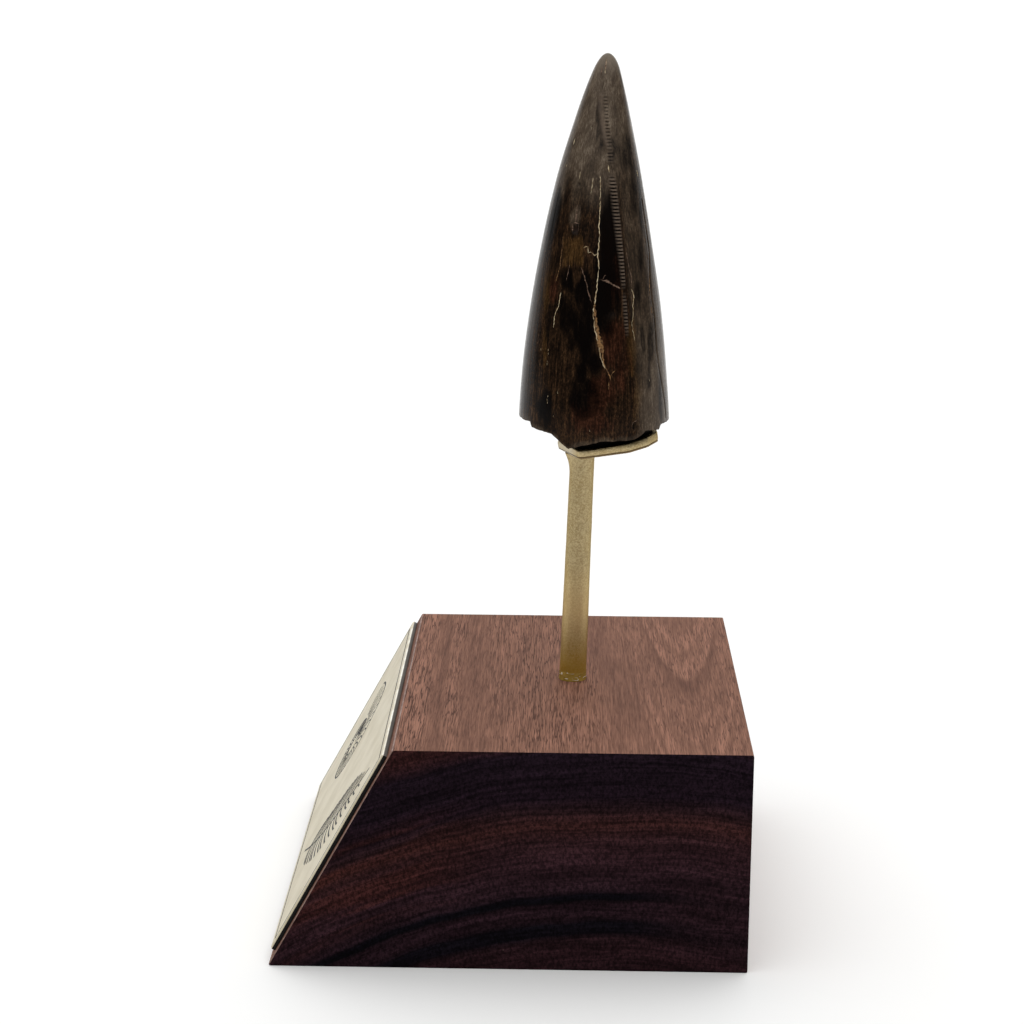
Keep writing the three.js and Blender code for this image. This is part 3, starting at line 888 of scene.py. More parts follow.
def make_block():
    """Walnut block with a sloped end, rounded corners, soft arrises and a blind hole for the rod."""
    left = BLOCK_RIGHT - BLOCK_LENGTH
    corners = [(left, 0), (BLOCK_RIGHT, 0), (BLOCK_RIGHT, BLOCK_TOP), (left + SLOPE_RUN, BLOCK_TOP)]
    turn = np.linspace(0, np.pi / 2, ARRIS_STEPS + 1)
    steps_in = BLOCK_ARRIS * (1 - np.cos(turn))
    insets = BLOCK_ARRIS * (1 - np.sin(turn))
    near = [(-BLOCK_BACK + step, inset) for step, inset in zip(steps_in, insets)]
    far = [(-y, inset) for y, inset in near[::-1]]
    rings = []
    for y, inset in near + far:
        outline = rounded_outline(corners, BLOCK_ROUND, inset, ROUND_STEPS, 0)
        rings.append(np.insert(outline, 1, y, axis=1))
    columns = len(rings[0])
    slope_start = columns - ROUND_STEPS - 1
    # The third look is a painted highlight on the rounded edge between the top and the sloped end and on the
    # sloped end's arrises
    long_grain, end_grain, highlight_look = range(3)
    look_of_face = []
    for row in range(len(rings) - 1):
        side = long_grain if row == ARRIS_STEPS else end_grain
        row_looks = [side] * slope_start + [highlight_look] * (columns - slope_start)
        if side == long_grain:
            row_looks[-1] = long_grain
        look_of_face += row_looks
    look_of_face += [end_grain, end_grain]
    # Painted highlight material for those edges
    highlight_material = mottled("walnut_arris_highlight", ARRIS_HIGHLIGHT_DIM, ARRIS_HIGHLIGHT_PALE, ARRIS_HIGHLIGHT_NOISE, ARRIS_HIGHLIGHT_SPAN, 0.55, ARRIS_BUMP)
    looks = [walnut_long(), walnut_end(), highlight_material]
    block = mesh_piece("block", loft(rings), looks, "base_block", look_of_face, BLOCK_CREASE)
    cut_rod_hole(block)


def cut_rod_hole(block):
    """Blind hole for the rod, cut along the rod's leaning axis."""
    ring = turned(full_turn(HOLE_SIDES), ROD_RADIUS + HOLE_CLEARANCE)
    rings = [ring + rod_axis(height) for height in (-HOLE_DEPTH, HOLE_DEPTH)]
    cutter = new_object("hole", new_mesh("hole", loft(rings)))
    cut = block.modifiers.new("hole", "BOOLEAN")
    cut.operation = "DIFFERENCE"
    cut.object = cutter
    bpy.context.view_layer.update()
    graph = bpy.context.evaluated_depsgraph_get()
    drilled = bpy.data.meshes.new_from_object(block.evaluated_get(graph))
    drilled.set_sharp_from_angle(angle=math.radians(BLOCK_CREASE))
    block.modifiers.clear()
    block.data = drilled
    bpy.data.objects.remove(cutter)


# Label plate
LAMINATE_CLOUD = (0.25, 3)
LAMINATE_CLOUD_SPAN = (0.35, 0.7)
LAMINATE_GRAIN = (6, 2)
LAMINATE_GRAIN_STEP = ((0.55, 0.8), (0, 0.25))
CORE_NOISE = (5, 3)
CORE_SPAN = (0.35, 0.75)


def laminate_cream(name, light, shade):
    """Laminate with faint clouds and a fine grain."""
    material, place = new_material(name)
    grain = place.noise(*LAMINATE_GRAIN)
    colour = place.noise(*LAMINATE_CLOUD).step(LAMINATE_CLOUD_SPAN).mix(light, shade)
    colour = grain.step(*LAMINATE_GRAIN_STEP).mix(colour, shade)
    return finished(material, colour, 0.45, {"Specular IOR Level": 0.4, "Normal": grain.bump(0.15, 0.02)})


def laminate_black(name):
    return mottled(name, CORE_BLACK, CORE_GREY, CORE_NOISE, CORE_SPAN, 0.6)


def plate_corners(inset):
    """Corners of the plate's outline, moved in by an inset."""
    x, y = PLATE_HEIGHT / 2 - inset, PLATE_WIDTH / 2 - inset
    return np.array([(-x, -y), (x, -y), (x, y), (-x, y)])


def raised(points, height):
    """Flat points at a height."""
    return np.insert(points, 2, height, axis=1)


def slab(levels):
    """Rectangular slab through levels of height and inset, in the plate's own frame."""
    return loft([raised(plate_corners(inset), height) for height, inset in levels])


def stroke(path, width):
    """A line of the label's drawing as a flat closed bar along a path."""
    path = np.asarray(path, dtype=float)
    side = sideways(path) * width / 2
    low, high = PLATE_FACE - STROKE_SUNK, PLATE_FACE + STROKE_PROUD
    corners = [(side, low), (side, high), (-side, high), (-side, low)]
    return loft(np.stack([raised(path + offset, height) for offset, height in corners], 1))


def ammonite():
    """Spiral shell with ribs."""
    def at(turn, share=1):
        whorl = AMMONITE_RADIUS * np.exp(AMMONITE_GROWTH * (turn - AMMONITE_END))
        inner = whorl * np.exp(-AMMONITE_GROWTH * TURN)
        angle = turn + RIB_BOW * np.sin(np.pi * share)
        return AMMONITE_CENTRE + turned(angle, inner + (whorl - inner) * share)[:, :2]

    strokes = [stroke(at(np.linspace(AMMONITE_START, AMMONITE_END, AMMONITE_STEPS)), LINE_WIDTH)]
    for k in range(RIB_COUNT):
        turn = AMMONITE_END - RIBBED_SPAN * k / RIB_COUNT
        strokes.append(stroke(at(turn, RIB_SHARES), THIN_LINE_WIDTH))
    return strokes


def fern():
    """Frond with paired leaflets that shorten towards its tip."""
    share = np.linspace(0, 1, FERN_STEPS)[:, None]
    stem = (1 - share) ** 2 * FERN_FOOT + 2 * share * (1 - share) * FERN_BEND + share**2 * FERN_TIP
    along = unit(np.gradient(stem, axis=0))
    side = sideways(stem)
    strokes = [stroke(stem, LINE_WIDTH)]
    step = np.linspace(0, 1, LEAFLET_STEPS)[:, None]
    rise = LEAFLET_RISE[0] + LEAFLET_RISE[1] * step
    for k in range(LEAFLET_COUNT):
        i = FERN_BARE_STEPS + k * FERN_LEAFY_STEPS // LEAFLET_COUNT
        swell = LEAFLET_SWELL[0] + LEAFLET_SWELL[1] * k / LEAFLET_COUNT
        reach = LEAFLET_REACH * math.sin(math.pi * swell)
        for out in (-LEAFLET_OUT, LEAFLET_OUT):
            leaf = stem[i] + reach * step * (out * side[i] + rise * along[i])
            strokes.append(stroke(leaf, LINE_WIDTH))
    return strokes


def frame_line():
    """Thin frame round the drawing."""
    corners = plate_corners(FRAME_INSET)
    return [stroke([corners[i - 1], corners[i]], THIN_LINE_WIDTH) for i in range(4)]


def make_label():
    """Cream laminate on a black core, with a generic engraved drawing."""
    angle = math.atan2(BLOCK_TOP, SLOPE_RUN)
    middle = np.array([BLOCK_RIGHT - BLOCK_LENGTH + SLOPE_RUN / 2, 0, BLOCK_TOP / 2])

    def placed(form):
        points, faces = form
        return tilted(points + np.array([PLATE_RISE, 0, 0]), angle, middle), faces

    core = slab([(CORE_FOOT, CORE_BEVEL), (CORE_FOOT + CORE_BEVEL, 0), (CORE_TOP, 0)])
    face = slab([(CORE_TOP, 0), (PLATE_FACE - PLATE_BEVEL, 0), (PLATE_FACE, PLATE_BEVEL)])
    drawing = joined(ammonite() + fern() + frame_line())
    # The second look is painted light on the upper edge: lit grey tones on the black core, and a painted
    # highlight on the cream face's upper edge and bevel. Its list is two rounds of four sides, then the two
    # caps
    upper_edge = [0, 1, 0, 0] * 2 + [0, 0]
    edge = laminate_cream("laminate_core_painted_light", CORE_LIT_EDGE, CORE_LIT_EDGE_DIM)
    cream = laminate_cream("laminate_cream", CREAM, CREAM_SHADE)
    rim = laminate_cream("laminate_painted_highlight", CREAM_HIGHLIGHT, CREAM)
    core_looks = [laminate_black("laminate_core"), edge]
    mesh_piece("label_core", placed(core), core_looks, None, upper_edge)
    mesh_piece("label_face", placed(face), [cream, rim], "label_plate", upper_edge)
    mesh_piece("label_drawing", placed(drawing), [laminate_black("laminate_line")])


# Brass
SPECKLE_NOISE = (4.6, 4, 0.8)
DULL_NOISE = (0.35, 3)
BRUSHED_NOISE = ((6, 6, 0.5), 2)
SPECKLE_SHARE = 0.75
DULL_SHARE = 0.25
BRASS_SPAN = (0.38, 0.62)
DULL_SPAN = (0.3, 0.7)
ROD_ROUGHNESS = (0.34, 0.48)
CRADLE_ROUGHNESS = (0.28, 0.42)
SPECKLE_HEIGHT = 1.4
BRUSHED_HEIGHT = 0.5
STAIN_AND_SHADE_DULLING = 0.8
# Heights above the block: the glue's smear, and the warm tint that comes and goes
SMEAR_STEP = ((0.4, 8), (0.8, 0))
WARM_RISE = ((3, 8), (0, 0.5))
WARM_FALL = (8, 16)
# Height of the cradle's lower lip, darkened as painted shade, and place along X of its silvery end
LIP_SHADE_STEP = ((0.21, 0.27), (0.75, 0))
SILVER_STEP = ((6.2, 7.3), (0.75, 0))


def brass(name, roughness, stains_and_shade_of):
    """Satin brass with a sandy speckle, faint lengthwise brushing, duller clouds and tints of its own, which
    on the cradle include painted shade.
    """
    material, place = new_material(name)
    speckle = place.noise(*SPECKLE_NOISE)
    dull = place.noise(*DULL_NOISE)
    brushed = place.noise(*BRUSHED_NOISE)
    share = speckle * SPECKLE_SHARE + dull * DULL_SHARE
    colour = share.step(BRASS_SPAN).mix(BRASS_DARK, BRASS_LIGHT)
    stains = stains_and_shade_of(place)
    for tint_share, paint in stains:
        colour = tint_share.mix(colour, paint)
    height = speckle * SPECKLE_HEIGHT + brushed * BRUSHED_HEIGHT
    # The first tint dulls the metal: the glue smear on the rod, and painted shade on the cradle's lip
    return finished(material, colour, dull.step(DULL_SPAN, roughness), {
        "Metallic": 1.0 - stains[0][0] * STAIN_AND_SHADE_DULLING, "Specular Tint": linear(BRASS_EDGE),
        "Normal": height.bump(0.45, 0.04),
    })


def rod_stains(place):
    """Olive smear of glue that fades up the rod's foot, and a warmer tint above it."""
    height = place.split()[2] - BLOCK_TOP
    warm = height.step(*WARM_RISE) * height.step(WARM_FALL, FADE_OUT)
    return [(height.step(*SMEAR_STEP), GLUE_OLIVE), (warm, BRASS_WARM)]


def cradle_shade_and_silver(place):
    """Painted shade along the cradle's lower lip, and a paler, silvery colour towards its left end."""
    x, _, z = place.split()
    along = (x - CRADLE_CENTRE[0]) * math.sin(CRADLE_TILT)
    height = (z - CRADLE_CENTRE[2]) * math.cos(CRADLE_TILT) - along
    return [(height.step(*LIP_SHADE_STEP), LIP_PAINTED_SHADE), (x.step(*SILVER_STEP), CRADLE_SILVER)]


def rod_axis(height):
    """Points on the rod's leaning axis at heights above the block's top."""
    return ROD_FOOT + np.asarray(height, dtype=float)[..., None] * (math.tan(ROD_LEAN), 0, 1)


def cradle_height(x, lift):
    """Height of the cradle's tilted underside, lifted by a distance square to it."""
    along = (x - CRADLE_CENTRE[0]) * math.tan(CRADLE_TILT)
    return CRADLE_CENTRE[2] + along + lift / math.cos(CRADLE_TILT)


def make_rod():
    """Leaning rod whose head flares left and back into the cradle's underside."""
    angle = full_turn(ROD_SIDES)
    left_and_back = np.clip(turned(angle, 1), (-1, 0, 0), (0, 1, 0))
    head = CRADLE_CENTRE[2] - BLOCK_TOP
    heights = np.linspace(-ROD_SUNK, head, ROD_ROWS + 1)
    rings = []
    for height in heights:
        radius = np.interp(height, [0, ROD_NECK], [ROD_RADIUS, ROD_HEAD_RADIUS])
        flare = ROD_FLARE * np.clip((height - ROD_NECK) / (head - ROD_NECK), 0, 1) ** FLARE_POWER
        dent = lattice_noise(angle / TURN * DENT_CELLS, height / DENT_LENGTH + DENT_START, DENT_CELLS, 3)
        ring = turned(angle, radius + ROD_DENT * dent) + flare * left_and_back
        rings.append(ring + rod_axis(height))
    rings = np.array(rings)
    level = cradle_height(rings[-1, :, 0], BRAZE_GAP) - rings[-1, :, 2]
    rings[..., 2] += smooth_step(heights, (ROD_NECK, head))[:, None] * level
    look = brass("brass_rod", ROD_ROUGHNESS, rod_stains)
    mesh_piece("rod", loft(rings), [look], "rod")


def make_cradle():
    """Bent and soldered tray: an outer band over the edge of its floor, with a rounded rim."""
    rings = []
    for inset, height in CRADLE_SECTION:
        outline = rounded_outline(CRADLE_OUTLINE, CRADLE_CORNER, inset, CRADLE_ARC_STEPS, CRADLE_SIDE_STEPS)
        around = np.linspace(0, CRADLE_WAVES, len(outline), endpoint=False)
        wave = CRADLE_WAVE * lattice_noise(around, 5.0, CRADLE_WAVES, 5)
        lean = CRADLE_LEAN * np.minimum(outline[:, 0] - CRADLE_LEAN_FROM, 0)
        rings.append(raised(outline, height + (wave + lean) * height / CRADLE_HEIGHT))
    points, faces = loft(rings)
    form = (tilted(points, CRADLE_TILT, CRADLE_CENTRE), faces)
    look = brass("brass_cradle", CRADLE_ROUGHNESS, cradle_shade_and_silver)
    mesh_piece("cradle", form, [look], "cradle", crease=CRADLE_CREASE)


# Glue
RIPPLE_NOISE = (1.6, 3)
RIPPLE_SPAN = (0.35, 0.7)
GLINT_NOISE = ((0.56, 0.56, 1.92), 1)
GLINT_STEP = ((0.006, 0.03), (0.9, 0))
GLINT_SPAN = (0.42, 0.52)


def clear_glue():
    """Clear set glue that takes on the brass behind it, with thin wavy glints."""
    material, place = new_material("clear_glue")
    ripple = place.noise(*RIPPLE_NOISE)
    colour = ripple.step(RIPPLE_SPAN).mix(GLUE_GOLD, GLUE_SHADE)
    off_line = abs(place.noise(*GLINT_NOISE) - NOISE_MIDDLE)
    glint = off_line.step(*GLINT_STEP) * ripple.step(GLINT_SPAN)
    colour = glint.mix(colour, GLUE_GLINT)
    return finished(material, colour, 0.08, {"IOR": 1.5, "Normal": ripple.bump(0.6, 0.15)})


def make_bead():
    """Ring of set glue that creeps up the rod and out over the wood, with an uneven lip."""
    angle = full_turn(BEAD_SIDES)
    lump = BEAD_WOBBLE * lattice_noise(angle / TURN * BEAD_LUMPS, 3.0, BEAD_LUMPS, 1)
    lip = LIP_WOBBLE * lattice_noise(angle / TURN * LIP_LUMPS, 8.0, LIP_LUMPS, 2)
    rings = []
    for out, up in BEAD_SECTION:
        reach = ROD_RADIUS + BEAD_GAP + out * (BEAD_WIDTH + lump)
        rings.append(rod_axis(up * (BEAD_HEIGHT + lip)) + turned(angle, reach))
    points, faces = loft(rings, capped=False)
    last = len(points) - BEAD_SIDES
    for i in range(BEAD_SIDES):
        after = (i + 1) % BEAD_SIDES
        faces.append([last + i, last + after, after, i])
    mesh_piece("glue_bead", (points, faces), [clear_glue()], "glue_bead")


# Tooth
def crown_outline(depth):
    """Middle and half width of the crown, curved through the stations by the root of the depth."""
    at = np.sqrt(np.clip(depth, 0, None))
    k = np.clip(np.searchsorted(CROWN_KNOTS, at, side="right") - 1, 0, len(CROWN_KNOTS) - 2)
    step = (CROWN_KNOTS[k + 1] - CROWN_KNOTS[k])[..., None]
    t = (at - CROWN_KNOTS[k])[..., None] / step
    start, end = CROWN_STATIONS[k, 1:], CROWN_STATIONS[k + 1, 1:]
    rise, fall = CROWN_SLOPES[k] * step, CROWN_SLOPES[k + 1] * step
    bend = 3 * (end - start) - 2 * rise - fall
    twist = 2 * (start - end) + rise + fall
    value = start + t * (rise + t * (bend + t * twist))
    return value[..., 0], np.maximum(value[..., 1], LEAST_HALF_WIDTH)


def crown_point(angle, depth, lift):
    """Point on the crown, lifted along the section's outward normal."""
    x, half_width = crown_outline(depth)
    share = depth / CROWN_HEIGHT
    y = BASE_Y + (TIP[1] - BASE_Y) * np.clip(1 - share, 0, None) ** RECURVE
    half_length = half_width * (TIP_ELONGATION + (BASE_ELONGATION - TIP_ELONGATION) * share)
    c, s = np.cos(angle), np.sin(angle)
    out = unit(np.stack((c / half_width, s / half_length), -1)) * lift[..., None]
    across = x + half_width * np.sign(c) * np.abs(c) ** SECTION_SQUARENESS + out[..., 0]
    along = y + half_length * np.sign(s) * np.abs(s) ** SECTION_SQUARENESS + out[..., 1]
    return np.stack((across, along, TIP[2] - depth), -1)


def mesial_angle(depth):
    """Angle of the front serrated edge, which swings to the right on its way down."""
    fallen = np.clip(depth - MESIAL_TURN_START, 0, None) / MESIAL_TURN_LENGTH
    return -np.pi / 2 + MESIAL_TURN * (1 - np.exp(-fallen))


def distal_angle(depth):
    """Angle of the back serrated edge, which runs straight down."""
    return np.full(np.shape(depth), np.pi / 2)


def wrapped(angle):
    """Angle between half a turn back and half a turn on."""
    return (angle + np.pi) % TURN - np.pi


def root_depth(angle):
    """Depth of the broken root edge at an angle, with its fine jags."""
    height = np.interp(np.degrees(wrapped(angle)), ROOT_EDGE[:, 0], ROOT_EDGE[:, 1])
    return TIP[2] - height - turn_noise(angle, 0, ROOT_JAGS)


def angle_of_width(width, depth):
    """Angle that a width along the surface takes up on the section."""
    half_width = crown_outline(np.maximum(depth, 1))[1]
    most = CARINA_MOST_ANGLE * np.abs(width) / CARINA_HALF_WIDTH
    return np.sign(width) * np.minimum(np.abs(width) / half_width, most)


def arc_place(angle, depth):
    """Place on the unrolled crown: millimetres round from the front, millimetres down."""
    return wrapped(angle + np.pi / 2) * crown_outline(depth)[1] * ARC_SHARE, depth


def arc_marks(marks):
    """Places on the unrolled crown of marks that start with an angle in degrees and a depth."""
    marks = np.array(marks, dtype=float)
    return arc_place(np.radians(marks[:, 0]), marks[:, 1])


def line_profile(angle, depth, line, width):
    """1 on a line of marks, falling off over a width to its sides on the unrolled crown."""
    line_u, line_v = arc_marks(line)
    u, v = arc_place(angle, depth)
    nearest = np.full(u.shape, np.inf)
    for k in range(len(line) - 1):
        du, dv = line_u[k + 1] - line_u[k], line_v[k + 1] - line_v[k]
        share = np.clip(((u - line_u[k]) * du + (v - line_v[k]) * dv) / (du * du + dv * dv), 0, 1)
        distance = np.hypot(u - line_u[k] - share * du, v - line_v[k] - share * dv)
        nearest = np.minimum(nearest, distance)
    return np.exp(-((nearest / width) ** 2))


def mark_offsets(angle, depth, marks):
    """For each mark, the distances across and down as shares of its half width and half length."""
    u, v = arc_place(angle, depth)
    for mark, mark_u, mark_v in zip(marks, *arc_marks(marks)):
        yield (u - mark_u) / mark[2], (v - mark_v) / mark[3]


def stain_mask(angle, depth, stains):
    """Soft spots at a list of stains, with edges that wander."""
    wander = turn_noise(angle, depth, STAIN_FRAY)
    mask = np.zeros(angle.shape)
    for across, down in mark_offsets(angle, depth, stains):
        mask = np.maximum(mask, smooth_step(np.hypot(across, down) + wander, STAIN_EDGE, FADE_OUT))
    return mask


def pit_masks(angle, depth, edge):
    """For each pit, 1 inside it and 0 outside."""
    for across, down in mark_offsets(angle, depth, PITS):
        yield smooth_step(np.maximum(np.abs(across), np.abs(down)), edge, FADE_OUT)


def denticle_bars(depth, spans):
    """Share of a full denticle at a depth, and height of the edge there."""
    bars = np.zeros(depth.shape)
    height = np.zeros(depth.shape)
    for top, bottom, tall in spans:
        inside = (depth > top) & (depth < bottom)
        phase = ((depth - top) / DENTICLE_PITCH) % 1
        bar = smooth_step(phase, DENTICLE_START) * smooth_step(phase, DENTICLE_END, FADE_OUT)
        fade = np.clip(np.minimum(depth - top, bottom - depth) / (DENTICLE_PITCH * DENTICLE_FADE), 0, 1)
        bars = np.where(inside, bar, bars)
        height = np.where(inside, tall * fade, height)
    return bars, height


def relief(angle, depth):
    """Height of the natural surface over the smooth crown: striae, waves, cracks, chips and wear."""
    cracks = PALE_CRACKS_AND_HIGHLIGHTS + TAN_CRACKS + DIM_CRACKS
    lines = [(-CRACK_DEPTH, width + CRACK_BANK, line) for width, line in cracks]
    lines.append((-SEAM_DEPTH, SEAM_WIDTH, SEAM))
    lines.append((RIDGE_HEIGHT, RIDGE_WIDTH, RIDGE))
    lines.append((-TROUGH_DEPTH, TROUGH_WIDTH, TROUGH))
    height = turn_noise(angle, depth, SURFACE_WAVES)
    for tall, width, line in lines:
        height += tall * line_profile(angle, depth, line, width)
    for pit, mask in zip(PITS, pit_masks(angle, depth, PIT_WALL)):
        height -= pit[4] * mask
    return height * smooth_step(depth, WAVES_FROM)


def side_columns(seen, unseen, share):
    """Places of the columns on a side, closer together on the part that faces the camera."""
    first = np.linspace(0, share, seen, endpoint=False)
    return np.concatenate((first, np.linspace(share, 1, unseen)))


def tooth_grid(angle_at, columns, rows, bunching, spans=()):
    """Angles and depths of one strip of the crown, from the tip to the root edge."""
    rim = root_depth(angle_at(np.full(columns.shape, CROWN_HEIGHT)))
    share = np.linspace(0, 1, rows + 1)[:, None] ** bunching
    depth = TIP_RING + (rim - TIP_RING) * share
    return {"angle": angle_at(depth), "depth": depth, "share": share[:, 0], "spans": spans}


def side_grid(start, end, turn, columns):
    """One side, from the flank of one serrated edge to that of the next."""
    def angle_at(depth):
        flank = angle_of_width(CARINA_FLANK, depth)
        return start(depth) + flank + (end(depth) + turn - start(depth) - 2 * flank) * columns

    return tooth_grid(angle_at, columns, SIDE_ROWS, SIDE_BUNCHING)


def carina_grid(edge, spans):
    """The narrow strip along a serrated edge."""
    def angle_at(depth):
        width = CARINA_COLUMNS * smooth_step(depth, *CARINA_GROWTH) * smooth_step(depth, *CARINA_NARROWS)
        return edge(depth) + angle_of_width(width, depth)

    return tooth_grid(angle_at, CARINA_COLUMNS, CARINA_ROWS, CARINA_BUNCHING, spans)


def underside_rows(edge, around):
    """Rows from the broken edge in under the root to the stub that sits in the cradle."""
    def stub(lift):
        x = CRADLE_CENTRE[0] + STUB_HALF_WIDTH * np.cos(around)
        y = CRADLE_CENTRE[1] + STUB_HALF_LENGTH * np.sin(around)
        return np.stack((x, y, cradle_height(x, lift)), -1)

    under = edge + (stub(STUB_TOP) - edge) * UNDERSIDE_SHARE
    under[:, 2] += UNDERSIDE_HOLLOW
    legs = [edge, under, stub(STUB_TOP), stub(STUB_FOOT)]
    rows = []
    for k in range(1, UNDERSIDE_ROWS + 1):
        at = 3 * k / UNDERSIDE_ROWS
        leg = min(int(at), 2)
        row = legs[leg] + (legs[leg + 1] - legs[leg]) * (at - leg)
        tall = UNDERSIDE_ROUGHNESS * math.sin(math.pi * k / UNDERSIDE_ROWS)
        row[:, 2] += turn_noise(around, UNDERSIDE_DRIFT * k, [(tall, UNDERSIDE_CELLS, 1, 3)])
        rows.append(row)
    return np.array(rows)


def zip_faces(left, right):
    """Triangles between two neighbouring columns, whichever is behind moving on first."""
    faces = []
    i, j = 0, 0
    (left_shares, left_index), (right_shares, right_index) = left, right
    while i < len(left_index) - 1 or j < len(right_index) - 1:
        right_done = j == len(right_index) - 1
        if i < len(left_index) - 1 and (right_done or left_shares[i + 1] <= right_shares[j + 1]):
            faces.append([left_index[i], left_index[i + 1], right_index[j]])
            i += 1
        else:
            faces.append([left_index[i], right_index[j + 1], right_index[j]])
            j += 1
    return faces


def serrations(depth, spans):
    """Lift of the denticles on the strip along an edge, with a painted highlight on their crests and painted
    shade in their slots.
    """
    rise = smooth_step(CARINA_COLUMNS, CARINA_RISE)
    ridge = rise * smooth_step(CARINA_COLUMNS, CARINA_FALL, FADE_OUT)
    slotted = rise * smooth_step(CARINA_COLUMNS, SLOT_FALL, FADE_OUT)
    bars, height = denticle_bars(depth, spans)
    lift = height * ridge * (1 - (1 - DENTICLE_FLOOR) * slotted * (1 - bars))
    strength = np.clip(height / FULL_DENTICLE, 0, 1)
    return lift, bars * strength * ridge, (1 - bars) * strength * slotted


def tooth_masks(angle, depth, crest, slots):
    """Masks that the tooth's look reads, by name."""
    seam = line_profile(angle, depth, SEAM, SEAM_WIDTH)
    seam *= smooth_step(turn_noise(angle, depth, SEAM_FRAY), *SEAM_SHADE)
    ridge = line_profile(angle, depth, RIDGE, RIDGE_WIDTH)
    pits = [pit[5] * mask for pit, mask in zip(PITS, pit_masks(angle, depth, PIT_SHADE))]
    beyond = wrapped(angle) - mesial_angle(depth)
    facing = smooth_step(wrapped(angle), FACING_CAMERA, FADE_OUT)
    right = smooth_step(beyond, (RIGHT_START, smooth_step(depth, *RIGHT_END))) * facing
    right *= smooth_step(depth, *RIGHT_STRENGTH)
    upper = smooth_step(depth + turn_noise(angle, depth, UPPER_FRAY), UPPER_END, FADE_OUT)
    upper *= 1 - UPPER_LOSS * smooth_step(beyond, UPPER_LOSS_SPAN) * facing
    # Painted highlight along the chipped root edge, in the taupe tone
    root_rim_highlight = smooth_step(depth - depth[-1] + turn_noise(angle, depth, CHIP_FRAY), *ROOT_RIM_HIGHLIGHT)
    patches = PATCH_STRENGTH * stain_mask(angle, depth, PALE_PATCHES)
    frayed = depth + turn_noise(angle, depth, TROUGH_FRAY)
    trough = smooth_step(wrapped(angle), TROUGH_LEFT) * smooth_step(frayed, TROUGH_TOP)
    trough *= smooth_step(beyond, TROUGH_RIGHT, FADE_OUT) * smooth_step(frayed, TROUGH_BOTTOM, FADE_OUT)
    # In these masks the crests carry a painted highlight, the recesses and the root's underside painted
    # shade, and the paler taupe tone also a painted highlight along the root edge
    return {
        "trough": trough,
        "smudge": stain_mask(angle, depth, SMUDGES),
        "ochre": stain_mask(angle, depth, OCHRE_STAINS),
        "red": np.maximum(stain_mask(angle, depth, RED_STAINS), TROUGH_RED * trough),
        "black": stain_mask(angle, depth, BLACK_STAINS),
        "taupe": np.maximum.reduce((upper, right, root_rim_highlight, patches)),
        "crest": np.maximum(crest, RIDGE_HIGHLIGHT * ridge),
        "recess": np.maximum.reduce((slots, seam, *pits)),
        "broken": np.zeros(angle.shape),
    }


def dress_grid(grid):
    """Points of one grid with its relief and underside, and the masks and flow that its look reads."""
    angle, depth = grid["angle"], grid["depth"]
    lift = relief(angle, depth)
    crest = slots = np.zeros(angle.shape)
    if grid["spans"]:
        teeth, crest, slots = serrations(depth, grid["spans"])
        lift = lift + teeth
    points = crown_point(angle, depth, lift)
    further = np.arange(1, UNDERSIDE_ROWS + 1)
    grid["points"] = np.concatenate((points, underside_rows(points[-1], angle[-1])))
    grid["share"] = np.concatenate((grid["share"], 1 + further))
    grid["masks"] = {}
    for name, mask in tooth_masks(angle, depth, crest, slots).items():
        # The underside rows take the broken mask in full, which paints them in shade
        below = np.full((UNDERSIDE_ROWS, angle.shape[1]), 1.0 if name == "broken" else 0.0)
        grid["masks"][name] = np.concatenate((mask, below)).reshape(-1)
    turns = np.concatenate((angle, np.repeat(angle[-1:], UNDERSIDE_ROWS, 0)))
    downs = np.concatenate((depth, depth[-1:] + UNDERSIDE_FLOW * further[:, None]))
    flow = turned(turns, np.minimum(FLOW_RADIUS, FLOW_TIP_RADIUS + crown_outline(downs)[1]))
    flow[..., 2] = downs
    grid["flow"] = flow.reshape(-1, 3)


# Enamel: noises along the flow, how far each swings the tone, and what the masks take away or mix in
STREAK_NOISE = ((4, 4, 0.22), 4, 0.7)
SPOT_NOISE = ((5.5, 5.5, 2.6), 4, 0.75)
BLOTCH_NOISE = ((0.7, 0.7, 0.45), 4, 0.6)
STREAK_SWING = 1.25
SPOT_SWING = 1.45
BLOTCH_SWING = 0.75
BASE_TONE = ((36, 41), (0.45, 0.53))
SMUDGE_STRENGTH = 0.52
SMUDGE_LOSS = 0.7
TROUGH_LOSS = 0.42
BLACK_LOSS = 0.55
BLACK_COVER = 0.9
OCHRE_STRENGTH = 0.85
RED_STRENGTH = 0.82
TAUPE_SHARE = 0.72
TAUPE_BLOTCH_SWING = 0.9
TAUPE_BASE = 0.5
TAUPE_SMUDGE_LOSS = 0.8
TIP_STEP = ((0.3, 3), (0.5, 0))
CREST_HIGHLIGHT_STRENGTH = 0.55
UNDERSIDE_SHADE_STRENGTH = 0.9
FRAY_STREAK = 1.2
FRAY_BLOTCH = 0.8
FRAY_SPAN = (0.12, 1)
FRAY_EDGE = (0.02, 0.3)
ENAMEL_ROUGHNESS = ((0.3, 1.1), (0.08, 0.6))


